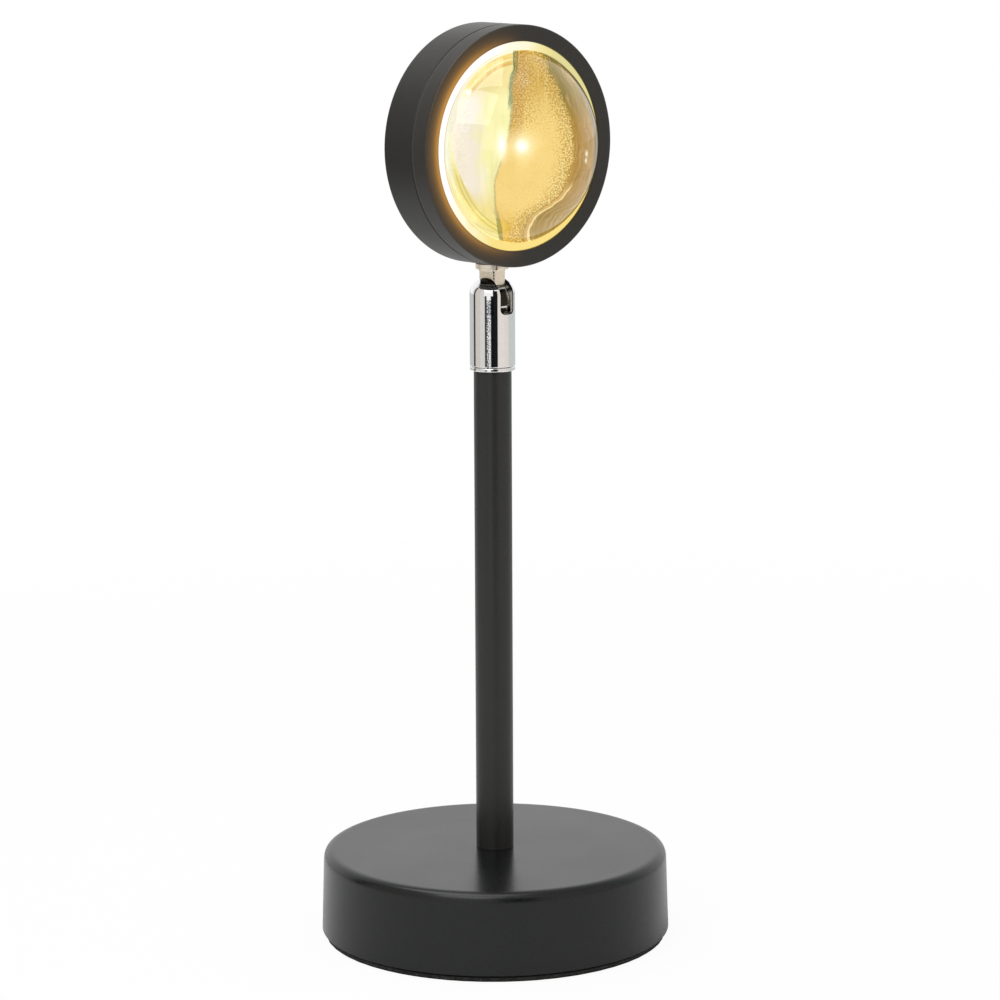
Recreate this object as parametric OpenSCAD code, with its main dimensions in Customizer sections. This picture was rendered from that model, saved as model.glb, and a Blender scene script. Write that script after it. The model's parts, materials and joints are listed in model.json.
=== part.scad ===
// Sunset projection lamp: a weighted round base, a slim pole, a ball knuckle in a
// chrome sleeve, and a drum-shaped head with a domed projection lens.
// Millimetres. The origin is the centre of the foot pad's underside, +Z is up,
// and the lens faces -Y. In the head, a height is measured forwards from the stem.

/* [Base] */
// Diameter of the base at its lower rim
base_d = 100; // [84:1:130]
// Height of the base's top face above the table
base_h = 25.4; // [25:0.2:40]
// How far the base's side leans in from bottom to top
base_lean = 0.75; // [0:0.05:3]
// Radius of the rounded top edge
base_round = 3; // [1.6:0.2:5]
// Sheet thickness of the base shell
base_wall = 1.2; // [0.8:0.1:1.4]
// Thickness of the foam foot pad
pad_t = 2; // [1:0.2:2.2]
// How far the foot pad stays inside the shell's rim
pad_inset = 1; // [0.4:0.1:2]
// Gap between the top of the counterweight and the gland above it
weight_gap = 0.5; // [0.4:0.1:4]
// Diameter of the spanner hole in the counterweight
weight_bore_d = 26; // [20:1:50]

/* [Cable inlet] */
// How far the gland's axis lies below the end of the nipple in the base
gland_drop = 3.1; // [3:0.1:3.4]
// Diameter of the hole for the gland
gland_hole_d = 6.4; // [5.6:0.1:6.8]
// Diameter of the gland's two collars
gland_collar_d = 7.8; // [7.2:0.1:8]
// Bore of the gland
gland_bore_d = 3.8; // [3.4:0.1:4.4]
// Diameter of the inner lead in the pole
lead_d = 3.2; // [2:0.1:3.2]

/* [Pole] */
// Outer diameter of the pole
pole_d = 10.7; // [10:0.1:12]
// Wall of the pole
pole_wall = 0.9; // [0.6:0.1:1.2]
// Length of the pole that shows between the base and the knuckle
pole_l = 138.75; // [60:0.25:300]
// Length of thread at each end of the pole
thread_l = 11; // [8:0.5:16]

/* [Knuckle] */
// Outer diameter of the chrome sleeve
sleeve_d = 12.8; // [12.8:0.1:13.4]
// Diameter of the ball
ball_d = 10.5; // [10:0.1:10.6]
// Height of the ball's centre above the pole's end
ball_rise = 19.65; // [19:0.05:28]
// Outer radius of the sleeve's domed top
dome_r = 7; // [6.8:0.1:8]
// Height of the bright ring below the sleeve
ring_h = 1.1; // [1:0.1:2]
// Direction of the tilt slot, turned from the lens towards +X
slot_turn = 5; // [-60:1:60]
// Running clearance of the knuckle's round fits
run_gap = 0.05; // [0.02:0.01:0.1]
// Clearance between the stem's bar and the sides of its slot
slot_gap = 0.25; // [0.1:0.05:0.4]

/* [Stem] */
// Diameter of the collar under the stem's flange
stem_d = 7.4; // [7.4:0.1:7.8]
// Thickness of the flat-sided bar between the ball and the collar
bar_t = 4.5; // [4.2:0.1:4.5]
// Width of the bar, in the direction that it tilts
bar_w = 6.4; // [5.6:0.1:6.4]
// Distance from the ball's centre to the head's lowest point
stem_rise = 10.4; // [9.6:0.1:16]
// Diameter of the stem's flange
flange_d = 9.3; // [8.6:0.1:9.4]
// Thickness of the stem's flange
flange_t = 1.7; // [0.5:0.1:2]
// Diameter of the stem's thread inside the head
stem_thread_d = 5.8; // [5:0.1:6.2]
// Bore of the stem
stem_bore_d = 3; // [2.8:0.1:3.2]
// Width of the split in the flange
split_w = 0.5; // [0.3:0.1:0.8]
// Direction of the split line, turned from the lens towards +X
split_turn = -24; // [-80:1:40]

/* [Head] */
// Outer diameter of the head
head_d = 67; // [66:0.5:80]
// Depth of the front bezel, from its face to the seam
bezel_t = 6.3; // [5.6:0.1:7]
// Distance from the front face back to the stem's axis
stem_setback = 12.4; // [11.6:0.1:12.6]
// Overall depth of the head, without the lens
head_depth = 18.4; // [18.2:0.1:20]
// Wall of the head's drum
head_wall = 2; // [1.6:0.1:2.4]
// Thickness of the head's back wall
back_t = 2.5; // [2.2:0.1:2.7]
// Width of the bezel's flat face, from the head's edge to the opening
face_w = 4.6; // [4:0.1:5.1]
// Thickness of the bezel's lip at the opening
lip_t = 1; // [0.6:0.1:1.4]
// Depth of the chamfer at each side of the seam
seam_cut = 0.3; // [0.1:0.05:0.5]
// Radius of the head's outer edges
edge_round = 0.6; // [0.2:0.1:1.2]
// Number of cooling slots in the back
vent_n = 12; // [4:4:12]
// Width of a cooling slot
vent_w = 1.8; // [1:0.1:2.4]

/* [Optics] */
// Width of the pale ring between the opening and the lens
glow_w = 2.4; // [1.9:0.1:3.9]
// How far the dome's crown stands out from its rim
dome_h = 16.3; // [10:0.1:20]
// How far the dome's rim stands in front of the bezel's face
lens_proud = 1; // [0:0.1:2]
// Height of the lens's straight edge
lens_edge_t = 4.5; // [4:0.1:5]
// How far the holder's pale ring lies behind the bezel's face
holder_sunk = 0.5; // [0.2:0.1:0.6]
// Thickness of the colour filter
filter_t = 0.5; // [0.3:0.1:0.8]
// Wall of the reflector
reflector_t = 0.8; // [0.6:0.1:1.2]
// Radius of the reflector's small end
reflector_in_r = 6.5; // [6.5:0.1:9]
// Diameter of the light source's board
board_d = 44; // [42:1:46]
// Thickness of the light source's board
board_t = 1.6; // [1:0.1:1.8]
// Thickness of the thermal pad behind the board
thermal_t = 0.3; // [0.2:0.1:0.5]
// Radius of the ring of board screws
screw_ring_r = 18; // [17:0.5:18]

/* [Hidden] */
$fn = 96;
cut = 1;                 // how far a cutting shape runs past a face
slip = 0.1;              // clearance between pieces that are pushed together

// base
base_r = base_d / 2;
top_r = base_r - base_lean;
shell_in_r = base_r - base_lean - base_wall;
inner_round = base_round - base_wall;
weight_r = shell_in_r - slip;
weight_chamfer = 0.8;

// pole and the threads in it
pole_r = pole_d / 2;
bore_r = pole_r - pole_wall;
thread_r = bore_r - run_gap;
pole_top = base_h + pole_l;
lead_r = lead_d / 2;
lead_slack = 0.6;
lead_hole_r = lead_r + lead_slack;
lead_bend_r = 5;
washer_r = 8;
washer_t = 1;
nut_flats = 13;
nut_t = 4.5;
washer_top = base_h - base_wall;
nut_top = washer_top - washer_t;
thread_show = 1.2;       // thread that stands out past a nut
nipple_end = nut_top - nut_t - thread_show;
gland_z = nipple_end - gland_drop;
collar_in = 2;           // how far the gland's inner collar stands in from the shell
collar_sink = 0.05;      // how far its outer collar stays inside the base's round
gland_in = shell_in_r - collar_in;
weight_t = gland_z - gland_collar_d / 2 - weight_gap - pad_t;

// knuckle, upwards from the end of the pole
sleeve_r = sleeve_d / 2;
ball_r = ball_d / 2;
ball_z = pole_top + ball_rise;
pocket_r = ball_r + run_gap;
slot_half = bar_t / 2 + slot_gap;
slot_deep = bar_w / 2 + slot_gap;
slot_round = 1.4;
ring_top = pole_top + ring_h;
ring_round = 0.45;
ring_gap = 0.15;
sleeve_low = ring_top + ring_gap;
plug_r = pocket_r - run_gap;
plug_l = 5;
plug_top = ring_top + plug_l;
groove_up = 2;
groove_z = ring_top + groove_up;
groove_h = 1;
groove_deep = 0.7;
clip_t = 0.8;
clip_w = 1.1;
clip_gap_deg = 50;
thrust_t = 0.8;
seat_top = ball_z - slot_deep - slip;
seat_t = 3.4;
seat_low = seat_top - seat_t;
spring_low = plug_top + thrust_t;
spring_wire_r = 0.45;
spring_gap = 0.3;
spring_r = plug_r - spring_wire_r - spring_gap;
spring_turns = 3.5;
spring_flat_turns = 0.75;
spring_sides = 8;
spring_steps = 22;

// head: heights h are measured forwards from the stem's axis
head_r = head_d / 2;
head_low = ball_z + stem_rise;
head_z = head_low + head_r;
face_h = stem_setback;
seam_h = face_h - bezel_t;
rear_h = face_h - head_depth;
back_h = rear_h + back_t;
drum_r = head_r - head_wall;
step_w = 1.9;
step_r = drum_r - step_w;
spigot_l = 3;
spigot_end = seam_h - spigot_l;
spigot_t = 1.05;
holder_r = drum_r - run_gap - spigot_t;
opening_r = head_r - face_w;
lip_back = face_h - lip_t;

// stem in the head
spot_deep = 0.3;         // flat cut in the drum for the stem's flange
spot_z = head_low + spot_deep;
flange_top = spot_z - run_gap;
flare = min(0.3, (flange_d - stem_d) / 2);
collar_l = 0.3;          // straight part of the collar, below its flare
collar_low = flange_top - flange_t - flare - collar_l;
bar_round = 0.65;        // rounding of the bar's four edges
stem_floor_t = 2.9;      // drum wall between the flange and the nut's washer
well_z = spot_z + stem_floor_t;
spring_washer_t = 0.6;
stem_nut_t = 2.4;
stem_nut_flats = 8;
stem_nut_r = stem_nut_flats / sqrt(3);
stem_washer_r = stem_nut_r - 0.2;
well_gap = 0.3;
well_r = stem_nut_r + well_gap;
stem_top = well_z + spring_washer_t + stem_nut_t + thread_show / 2;
well_top = stem_top + well_gap;
stem_thread_r = stem_thread_d / 2;

// optics, from the lens backwards
lens_rim_r = opening_r - glow_w;
lens_r = (lens_rim_r * lens_rim_r + dome_h * dome_h) / (2 * dome_h);
rim_h = face_h + lens_proud;
lens_back = rim_h - lens_edge_t;
dome_centre = rim_h + dome_h - lens_r;
lens_seat_r = lens_rim_r + slip;
ledge_t = 1.2;
ledge_w = 1.7;
filter_inset = 0.4;
filter_r = lens_rim_r - filter_inset;
filter_front = lens_back - ledge_t;
filter_back = filter_front - filter_t;
web_t = 1;
web_low = spigot_end;
web_top = web_low + web_t;
board_h = back_h + thermal_t + board_t;
board_r = board_d / 2;
cone_r = filter_r - reflector_t;

// board furniture
emitter_w = 8.6;
emitter_t = 0.7;
phosphor_r = 3.2;
phosphor_t = 0.3;
screw_r = 1.15;
screw_head_r = 2.1;
screw_head_t = 1.3;
screw_deep = 2;
recess_w = 0.5;
recess_l = 2.4;
thermal_inset = 2;
chip = [3.2, 1.6, 0.6];
chip_ring_r = 12.5;
connector_w = 6;
connector_h = 4;
connector_up = 0.8;
connector_low = head_z - board_r + connector_up;
head_lead_gap = 0.3;
head_lead_r = stem_bore_d / 2 - head_lead_gap;
vent_rim = 0.8;
vent_in_r = board_r + vent_rim + vent_w / 2;
vent_out_r = step_r - vent_rim - vent_w / 2;

// Carries a turned shape to the head: its axis Z becomes forwards, its r spreads round the drum.
module on_head() {
    translate([0, 0, head_z]) rotate([90, 0, 0]) children();
}

// A flat ring or, with no bore, a disc standing on z0.
module ring(outer, inner, z0, h) {
    translate([0, 0, z0]) difference() {
        cylinder(r = outer, h = h);
        if (inner > 0) translate([0, 0, -cut]) cylinder(r = inner, h = h + 2 * cut);
    }
}

// A hexagonal nut with a round bore.
module hex_nut(flats, bore, z0, h) {
    translate([0, 0, z0]) difference() {
        cylinder(r = flats / sqrt(3), h = h, $fn = 6);
        translate([0, 0, -cut]) cylinder(r = bore, h = h + 2 * cut);
    }
}

// Half profile of the base with its rounded top edge, kept dist inside the outer one.
module base_profile(dist, edge, z0) {
    top = base_h - dist;
    polygon([[0, z0], [base_r - dist, z0], [top_r - dist, top - edge],
             [top_r - dist - edge, top], [0, top]]);
    translate([top_r - dist - edge, top - edge]) intersection() {
        circle(r = edge);
        square(edge);
    }
}

// The shell's wall as a solid of revolution.
module shell_wall() {
    rotate_extrude() difference() {
        base_profile(0, base_round, pad_t);
        base_profile(base_wall, inner_round, pad_t - cut);
        square([thread_r + slip, base_h + cut]);
    }
}

// A cylinder from the middle of the base out through its back.
module to_the_back(r, y0, y1) {
    translate([0, y0, gland_z]) rotate([-90, 0, 0]) cylinder(r = r, h = y1 - y0);
}

// The well in the head's floor that the stem's nut and washer lie in.
module stem_well() {
    translate([0, 0, well_z]) cylinder(r = well_r, h = well_top - well_z);
}

// Children at each board screw, on the head's axis.
module at_screws() {
    for (a = [90, 210, 330]) rotate(a) translate([screw_ring_r, 0, 0]) children();
}

module base_shell() {
    color([0.13, 0.13, 0.13]) difference() {
        shell_wall();
        to_the_back(gland_hole_d / 2, base_r / 2, base_r + cut);
    }
}

module counterweight() {
    color([0.3, 0.3, 0.31]) translate([0, 0, pad_t]) rotate_extrude() polygon([
        [weight_bore_d / 2, 0],
        [weight_r - weight_chamfer, 0],
        [weight_r, weight_chamfer],
        [weight_r, weight_t - weight_chamfer],
        [weight_r - weight_chamfer, weight_t],
        [weight_bore_d / 2 + weight_chamfer, weight_t],
        [weight_bore_d / 2, weight_t - weight_chamfer]
    ]);
}

module foot_pad() {
    color([0.08, 0.08, 0.08]) cylinder(r = base_r - pad_inset, h = pad_t);
}

module cable_gland() {
    color([0.1, 0.1, 0.1]) difference() {
        to_the_back(gland_collar_d / 2, gland_in, base_r - collar_sink);
        difference() {
            shell_wall();
            to_the_back(gland_hole_d / 2, 0, base_r + cut);
        }
        to_the_back(gland_bore_d / 2, gland_in - cut, base_r + cut);
    }
}

module base_nipple() {
    color([0.72, 0.7, 0.62]) ring(thread_r, lead_hole_r, nipple_end, base_h + thread_l - nipple_end);
}

module base_washer() {
    color([0.75, 0.75, 0.76]) ring(washer_r, thread_r, nut_top, washer_t);
}

module base_nut() {
    color([0.75, 0.75, 0.76]) hex_nut(nut_flats, thread_r, nut_top - nut_t, nut_t);
}

module pole_tube() {
    color([0.13, 0.13, 0.13]) ring(pole_r, bore_r, base_h, pole_l);
}

// The inner lead: in from the gland, round a bend and up the pole to the ball.
module pole_lead() {
    bend_z = gland_z + lead_bend_r;
    color([0.15, 0.15, 0.15]) {
        translate([0, 0, bend_z]) cylinder(r = lead_r, h = seat_low + seat_t / 2 - bend_z);
        translate([0, lead_bend_r, bend_z]) rotate([0, 90, 0]) rotate([0, 0, -90])
            rotate_extrude(angle = 90) translate([lead_bend_r, 0]) circle(r = lead_r);
        to_the_back(lead_r, lead_bend_r, gland_in - slip);
    }
}

module knuckle_plug() {
    color([0.8, 0.8, 0.82]) rotate_extrude() difference() {
        union() {
            translate([0, pole_top - thread_l]) square([thread_r, thread_l + cut]);
            translate([0, pole_top]) square([sleeve_r - ring_round, ring_h]);
            translate([0, pole_top + ring_round]) square([sleeve_r, ring_h - 2 * ring_round]);
            for (z = [pole_top + ring_round, ring_top - ring_round])
                translate([sleeve_r - ring_round, z]) circle(r = ring_round);
            translate([0, pole_top]) square([plug_r, plug_top - pole_top]);
        }
        translate([-sleeve_r, pole_top - thread_l - cut]) square([sleeve_r + lead_hole_r, plug_top]);
        translate([plug_r - groove_deep, groove_z]) square([groove_deep + cut, groove_h]);
    }
}

// Split snap ring: in the plug's groove and in the sleeve's.
module plug_clip() {
    color([0.6, 0.6, 0.6]) translate([0, 0, groove_z + slip / 2])
        rotate_extrude(angle = 360 - clip_gap_deg)
            translate([plug_r - groove_deep + run_gap, 0]) square([clip_w, clip_t]);
}

module thrust_washer() {
    color([0.92, 0.92, 0.9]) ring(plug_r, lead_hole_r, plug_top, thrust_t);
}

// Compression spring: one round wire on a helix whose end turns lie flat.
function spring_h(u) = let (rise = seat_low - spring_low - 2 * spring_wire_r,
                            flat = spring_flat_turns / spring_turns)
    spring_low + spring_wire_r + rise * max(0, min(1, (u - flat) / (1 - 2 * flat)));
function spring_ring(u, n) = [for (k = [0 : n - 1]) let (
        turn = 360 * spring_turns * u,
        r = spring_r + spring_wire_r * cos(360 * k / n))
    [r * cos(turn), r * sin(turn), spring_h(u) + spring_wire_r * sin(360 * k / n)]];

module knuckle_spring() {
    steps = floor(spring_steps * spring_turns);
    n = spring_sides;
    points = [for (i = [0 : steps]) each spring_ring(i / steps, n)];
    sides = [for (i = [0 : steps - 1], k = [0 : n - 1])
        [i * n + k, (i + 1) * n + k, (i + 1) * n + (k + 1) % n, i * n + (k + 1) % n]];
    caps = [[for (k = [0 : n - 1]) k], [for (k = [n - 1 : -1 : 0]) steps * n + k]];
    color([0.62, 0.63, 0.65]) polyhedron(points = points, faces = concat(sides, caps), convexity = 8);
}

// Cup under the ball, cut to the ball's own radius.
module ball_seat() {
    color([0.92, 0.92, 0.9]) difference() {
        ring(plug_r, lead_hole_r, seat_low, seat_t);
        translate([0, 0, ball_z]) sphere(r = pocket_r);
    }
}

// What the stem's bar sweeps as it tilts: an upright slot with rounded lower corners, towards -Y.
module tilt_slot() {
    reach = dome_r + cut;
    hull() for (x = [slot_round - slot_half, slot_half - slot_round])
        translate([x, 0, slot_round - slot_deep]) rotate([90, 0, 0]) {
            cylinder(r = slot_round, h = reach, $fn = 48);
            translate([-slot_round, slot_deep]) cube([2 * slot_round, reach, reach]);
        }
    translate([-slot_half, -cut, 0]) cube([2 * slot_half, slot_deep + cut, reach]);
}

// Sleeve: a straight skirt, a domed top round the ball, and one slot that the stem tilts into.
module knuckle_sleeve() {
    lower_round = 0.3;
    color([0.85, 0.86, 0.88]) difference() {
        union() {
            rotate_extrude() {
                translate([0, sleeve_low + lower_round])
                    square([sleeve_r, ball_z - sleeve_low - lower_round]);
                translate([0, sleeve_low]) square([sleeve_r - lower_round, 2 * lower_round]);
                translate([sleeve_r - lower_round, sleeve_low + lower_round]) circle(r = lower_round);
            }
            intersection() {
                translate([0, 0, ball_z]) sphere(r = dome_r);
                translate([0, 0, ball_z - cut]) cylinder(r = sleeve_r, h = dome_r + 2 * cut);
            }
        }
        translate([0, 0, sleeve_low - cut]) cylinder(r = pocket_r, h = ball_z - sleeve_low + cut);
        translate([0, 0, ball_z]) sphere(r = pocket_r);
        translate([0, 0, groove_z - slip]) cylinder(r = pocket_r + groove_deep, h = groove_h + 2 * slip);
        translate([0, 0, ball_z]) rotate([0, 0, slot_turn]) tilt_slot();
    }
}

// Ball, flat-sided bar, collar, flange and thread in one piece, bored for the lead.
// The collar and the flange are split on one side.
module ball_stem() {
    flange_low = flange_top - flange_t;
    color([0.78, 0.74, 0.66]) difference() {
        union() {
            translate([0, 0, ball_z]) sphere(r = ball_r);
            translate([0, 0, ball_z]) rotate([0, 0, slot_turn])
                linear_extrude(height = collar_low + collar_l / 2 - ball_z) offset(r = bar_round)
                    square([bar_t - 2 * bar_round, bar_w - 2 * bar_round], center = true);
            rotate_extrude() difference() {
                union() {
                    translate([0, collar_low]) square([stem_d / 2, collar_l]);
                    translate([0, flange_low]) square([flange_d / 2, flange_t]);
                    translate([0, flange_low - flare]) square([stem_d / 2 + flare, flare]);
                    translate([0, flange_low]) square([stem_thread_r, stem_top - flange_low]);
                }
                translate([stem_d / 2 + flare, flange_low - flare]) circle(r = flare);
            }
        }
        translate([0, 0, ball_z - ball_d]) cylinder(r = stem_bore_d / 2, h = stem_top - ball_z + 2 * ball_d);
        rotate([0, 0, split_turn]) translate([-split_w / 2, -flange_d, flange_low - flare / 2])
            cube([split_w, flange_d, flange_t + flare]);
    }
}

module stem_washer() {
    color([0.75, 0.75, 0.76]) ring(stem_washer_r, stem_thread_r, well_z + run_gap, spring_washer_t);
}

module stem_nut() {
    color([0.72, 0.7, 0.62])
        hex_nut(stem_nut_flats, stem_thread_r, well_z + run_gap + spring_washer_t, stem_nut_t);
}

// Rear drum: rounded back edge, stepped bore, cooling slots and a seat for the stem.
module rear_housing() {
    color([0.13, 0.13, 0.13]) difference() {
        on_head() {
            difference() {
                rotate_extrude() difference() {
                    union() {
                        translate([0, rear_h]) square([head_r - edge_round, seam_h - rear_h]);
                        translate([0, rear_h + edge_round])
                            square([head_r, seam_h - rear_h - edge_round - seam_cut]);
                        translate([head_r - edge_round, rear_h + edge_round]) circle(r = edge_round);
                        polygon([[0, seam_h - seam_cut], [head_r, seam_h - seam_cut],
                                 [head_r - seam_cut, seam_h], [0, seam_h]]);
                    }
                    translate([0, spigot_end]) square([drum_r, seam_h]);
                    translate([0, back_h]) square([step_r, seam_h - back_h]);
                }
                for (i = [0 : vent_n - 1]) rotate((i + 0.5) * 360 / vent_n) translate([0, 0, rear_h - cut]) {
                    translate([vent_in_r, -vent_w / 2, 0])
                        cube([vent_out_r - vent_in_r, vent_w, back_t + 2 * cut]);
                    for (r = [vent_in_r, vent_out_r])
                        translate([r, 0, 0]) cylinder(r = vent_w / 2, h = back_t + 2 * cut);
                }
                translate([0, 0, back_h - screw_deep])
                    at_screws() cylinder(r = screw_r, h = screw_deep + cut);
            }
        }
        stem_well();
        translate([0, 0, head_low - cut]) {
            cylinder(r = flange_d / 2 + slip, h = spot_z - head_low + cut);
            cylinder(r = stem_thread_r + run_gap, h = well_z - head_low + 2 * cut);
        }
    }
}

// Front ring: flat face, lip at the opening, and a spigot that screws into the drum.
module front_bezel() {
    color([0.16, 0.15, 0.14]) difference() {
        on_head() rotate_extrude() difference() {
            union() {
                translate([opening_r, seam_h]) square([head_r - edge_round - opening_r, bezel_t]);
                translate([opening_r, seam_h + seam_cut])
                    square([head_r - opening_r, bezel_t - seam_cut - edge_round]);
                translate([head_r - edge_round, face_h - edge_round]) circle(r = edge_round);
                polygon([[opening_r, seam_h], [head_r - seam_cut, seam_h],
                         [head_r, seam_h + seam_cut], [opening_r, seam_h + seam_cut]]);
                translate([holder_r, spigot_end]) square([drum_r - run_gap - holder_r, spigot_l + cut]);
            }
            translate([0, spigot_end - cut]) square([holder_r, lip_back - spigot_end + cut]);
        }
        stem_well();
    }
}

// Pale translucent ring that the lens sits in; its raised front shows in the bezel's opening.
module lens_holder() {
    color([0.97, 0.95, 0.85]) difference() {
        on_head() rotate_extrude() difference() {
            union() {
                translate([0, web_top]) square([holder_r - slip, lip_back - web_top]);
                translate([0, lip_back - cut])
                    square([opening_r - slip, face_h - holder_sunk - lip_back + cut]);
            }
            translate([0, lens_back]) square([lens_seat_r, face_h]);
            translate([0, web_top - cut]) square([lens_seat_r - ledge_w, face_h]);
            translate([0, web_top - cut]) square([filter_r + slip, filter_front - web_top + cut]);
        }
        stem_well();
    }
}

// Glass: a straight edge and a spherical dome.
module lens() {
    color([0.95, 0.9, 0.75, 0.5]) on_head() rotate_extrude($fn = 160) union() {
        translate([0, lens_back]) square([lens_rim_r, lens_edge_t]);
        intersection() {
            translate([0, dome_centre]) circle(r = lens_r);
            translate([0, rim_h - cut]) square([lens_rim_r, lens_r]);
        }
    }
}

module colour_filter() {
    color([0.95, 0.7, 0.25]) on_head() ring(filter_r, 0, filter_back, filter_t);
}

// Cone from the emitter to the filter, on a flat web that the holder clamps.
module reflector() {
    color([0.95, 0.95, 0.93]) difference() {
        on_head() rotate_extrude() {
            polygon([[reflector_in_r, board_h], [reflector_in_r + reflector_t, board_h],
                     [cone_r + reflector_t, filter_back], [cone_r, filter_back]]);
            difference() {
                translate([0, web_low]) square([holder_r - slip, web_t]);
                polygon([[0, board_h], [reflector_in_r + reflector_t / 2, board_h],
                         [cone_r + reflector_t / 2, filter_back], [0, filter_back]]);
            }
        }
        stem_well();
    }
}

module led_board() {
    color([0.9, 0.92, 0.9]) on_head() difference() {
        ring(board_r, 0, board_h - board_t, board_t);
        translate([0, 0, board_h - board_t - cut])
            at_screws() cylinder(r = screw_r + slip, h = board_t + 2 * cut);
    }
}

module led_emitter() {
    color([0.95, 0.8, 0.2]) on_head() {
        translate([-emitter_w / 2, -emitter_w / 2, board_h]) cube([emitter_w, emitter_w, emitter_t]);
        translate([0, 0, board_h]) cylinder(r = phosphor_r, h = emitter_t + phosphor_t);
    }
}

// Four chip resistors, between the reflector's foot and the screws.
module board_resistors() {
    color([0.1, 0.1, 0.1]) on_head() for (a = [0 : 90 : 270]) rotate(a + 45)
        translate([chip_ring_r, -chip[0] / 2, board_h]) cube([chip[1], chip[0], chip[2]]);
}

module thermal_pad() {
    color([0.6, 0.65, 0.7]) on_head() difference() {
        ring(board_r - thermal_inset, 0, back_h, thermal_t);
        translate([0, 0, back_h - cut])
            at_screws() cylinder(r = screw_r + 2 * slip, h = thermal_t + 2 * cut);
    }
}

module board_screws() {
    color([0.75, 0.75, 0.76]) on_head() at_screws() {
        translate([0, 0, board_h]) difference() {
            cylinder(r = screw_head_r, h = screw_head_t);
            for (a = [0, 90]) rotate(a) translate([-recess_w / 2, -recess_l / 2, screw_head_t / 2])
                cube([recess_w, recess_l, screw_head_t]);
        }
        translate([0, 0, back_h - screw_deep + slip])
            cylinder(r = screw_r, h = board_h - back_h + screw_deep);
    }
}

module lead_connector() {
    color([0.93, 0.92, 0.88])
        translate([-connector_w / 2, -connector_h / 2, connector_low])
            cube([connector_w, connector_h / 2 - board_h, connector_h]);
}

module head_lead() {
    color([0.15, 0.15, 0.15]) translate([0, 0, ball_z]) cylinder(r = head_lead_r, h = connector_low - ball_z);
}

base_shell();
counterweight();
foot_pad();
cable_gland();
base_nipple();
base_washer();
base_nut();
pole_tube();
pole_lead();
knuckle_plug();
plug_clip();
thrust_washer();
knuckle_spring();
ball_seat();
knuckle_sleeve();
ball_stem();
stem_washer();
stem_nut();
rear_housing();
front_bezel();
lens_holder();
lens();
colour_filter();
reflector();
led_board();
led_emitter();
board_resistors();
thermal_pad();
board_screws();
lead_connector();
head_lead();
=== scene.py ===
"""Sunset projection lamp: looks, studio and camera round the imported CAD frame.

Lengths in this file are millimetres in the object's own frame (origin at the centre of the
foot pad's underside, Z up, lens towards -Y) and become metres where a mesh is made.
"""

import json
import logging
import math
from dataclasses import dataclass, field
from enum import Enum
from typing import Callable, Optional, Sequence

import bpy
import numpy as np
from mathutils import Matrix, Vector


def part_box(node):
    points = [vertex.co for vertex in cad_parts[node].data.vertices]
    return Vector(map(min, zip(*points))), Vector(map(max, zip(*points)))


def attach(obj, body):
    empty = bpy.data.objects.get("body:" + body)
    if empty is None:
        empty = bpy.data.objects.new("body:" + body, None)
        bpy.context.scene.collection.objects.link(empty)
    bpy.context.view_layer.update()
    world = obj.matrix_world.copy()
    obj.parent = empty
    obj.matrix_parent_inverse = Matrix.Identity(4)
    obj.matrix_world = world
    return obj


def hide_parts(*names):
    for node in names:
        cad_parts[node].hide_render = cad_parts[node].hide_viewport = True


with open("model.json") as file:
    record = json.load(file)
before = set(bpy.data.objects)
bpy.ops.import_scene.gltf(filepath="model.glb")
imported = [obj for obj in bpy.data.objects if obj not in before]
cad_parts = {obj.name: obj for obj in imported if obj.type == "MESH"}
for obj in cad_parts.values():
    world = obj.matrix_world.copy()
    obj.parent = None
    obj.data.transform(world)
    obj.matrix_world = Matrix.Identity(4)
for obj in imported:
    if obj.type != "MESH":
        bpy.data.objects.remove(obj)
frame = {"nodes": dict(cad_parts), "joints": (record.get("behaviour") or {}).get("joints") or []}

LOG = logging.getLogger("lamp")
MM = 0.001
Colour = tuple[float, float, float]
Loop = np.ndarray
Node = bpy.types.Node
Socket = bpy.types.NodeSocket


# ---------------------------------------------------------------- surfaces


@dataclass
class Surface:
    """Points in millimetres and four-cornered faces. A triangle repeats its last corner."""

    points: np.ndarray
    faces: np.ndarray

    def moved(self, turn: Callable[[np.ndarray], np.ndarray]) -> "Surface":
        """Returns the surface with its points carried through a function of all points."""
        return Surface(turn(self.points), self.faces)

    def welded(self, grid: float = 1e-4) -> "Surface":
        """Merges points that share a place on a fine lattice.

        Args:
            grid: the lattice's pitch in millimetres.

        Returns:
            The surface with one point per place, and without faces that have no area.
        """
        keys = np.round(self.points / grid).astype(np.int64)
        _, first, back = np.unique(keys, axis=0, return_index=True, return_inverse=True)
        faces = back.reshape(-1)[self.faces]
        corners = np.sort(faces, axis=1)
        distinct = 1 + (np.diff(corners, axis=1) > 0).sum(1)
        return Surface(self.points[first], faces[distinct >= 3])

    def outward(self) -> "Surface":
        """Turns the faces round if the enclosed volume comes out negative.

        The volume is a sixth of the sum of a . (b x c) over the faces' two triangles.
        """
        a, b, c, d = (self.points[self.faces[:, k]] for k in range(4))
        volume = np.einsum("ij,ij->", a, np.cross(b, c)) + np.einsum("ij,ij->", a, np.cross(c, d))
        return self if volume > 0 else Surface(self.points, self.faces[:, ::-1])


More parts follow.
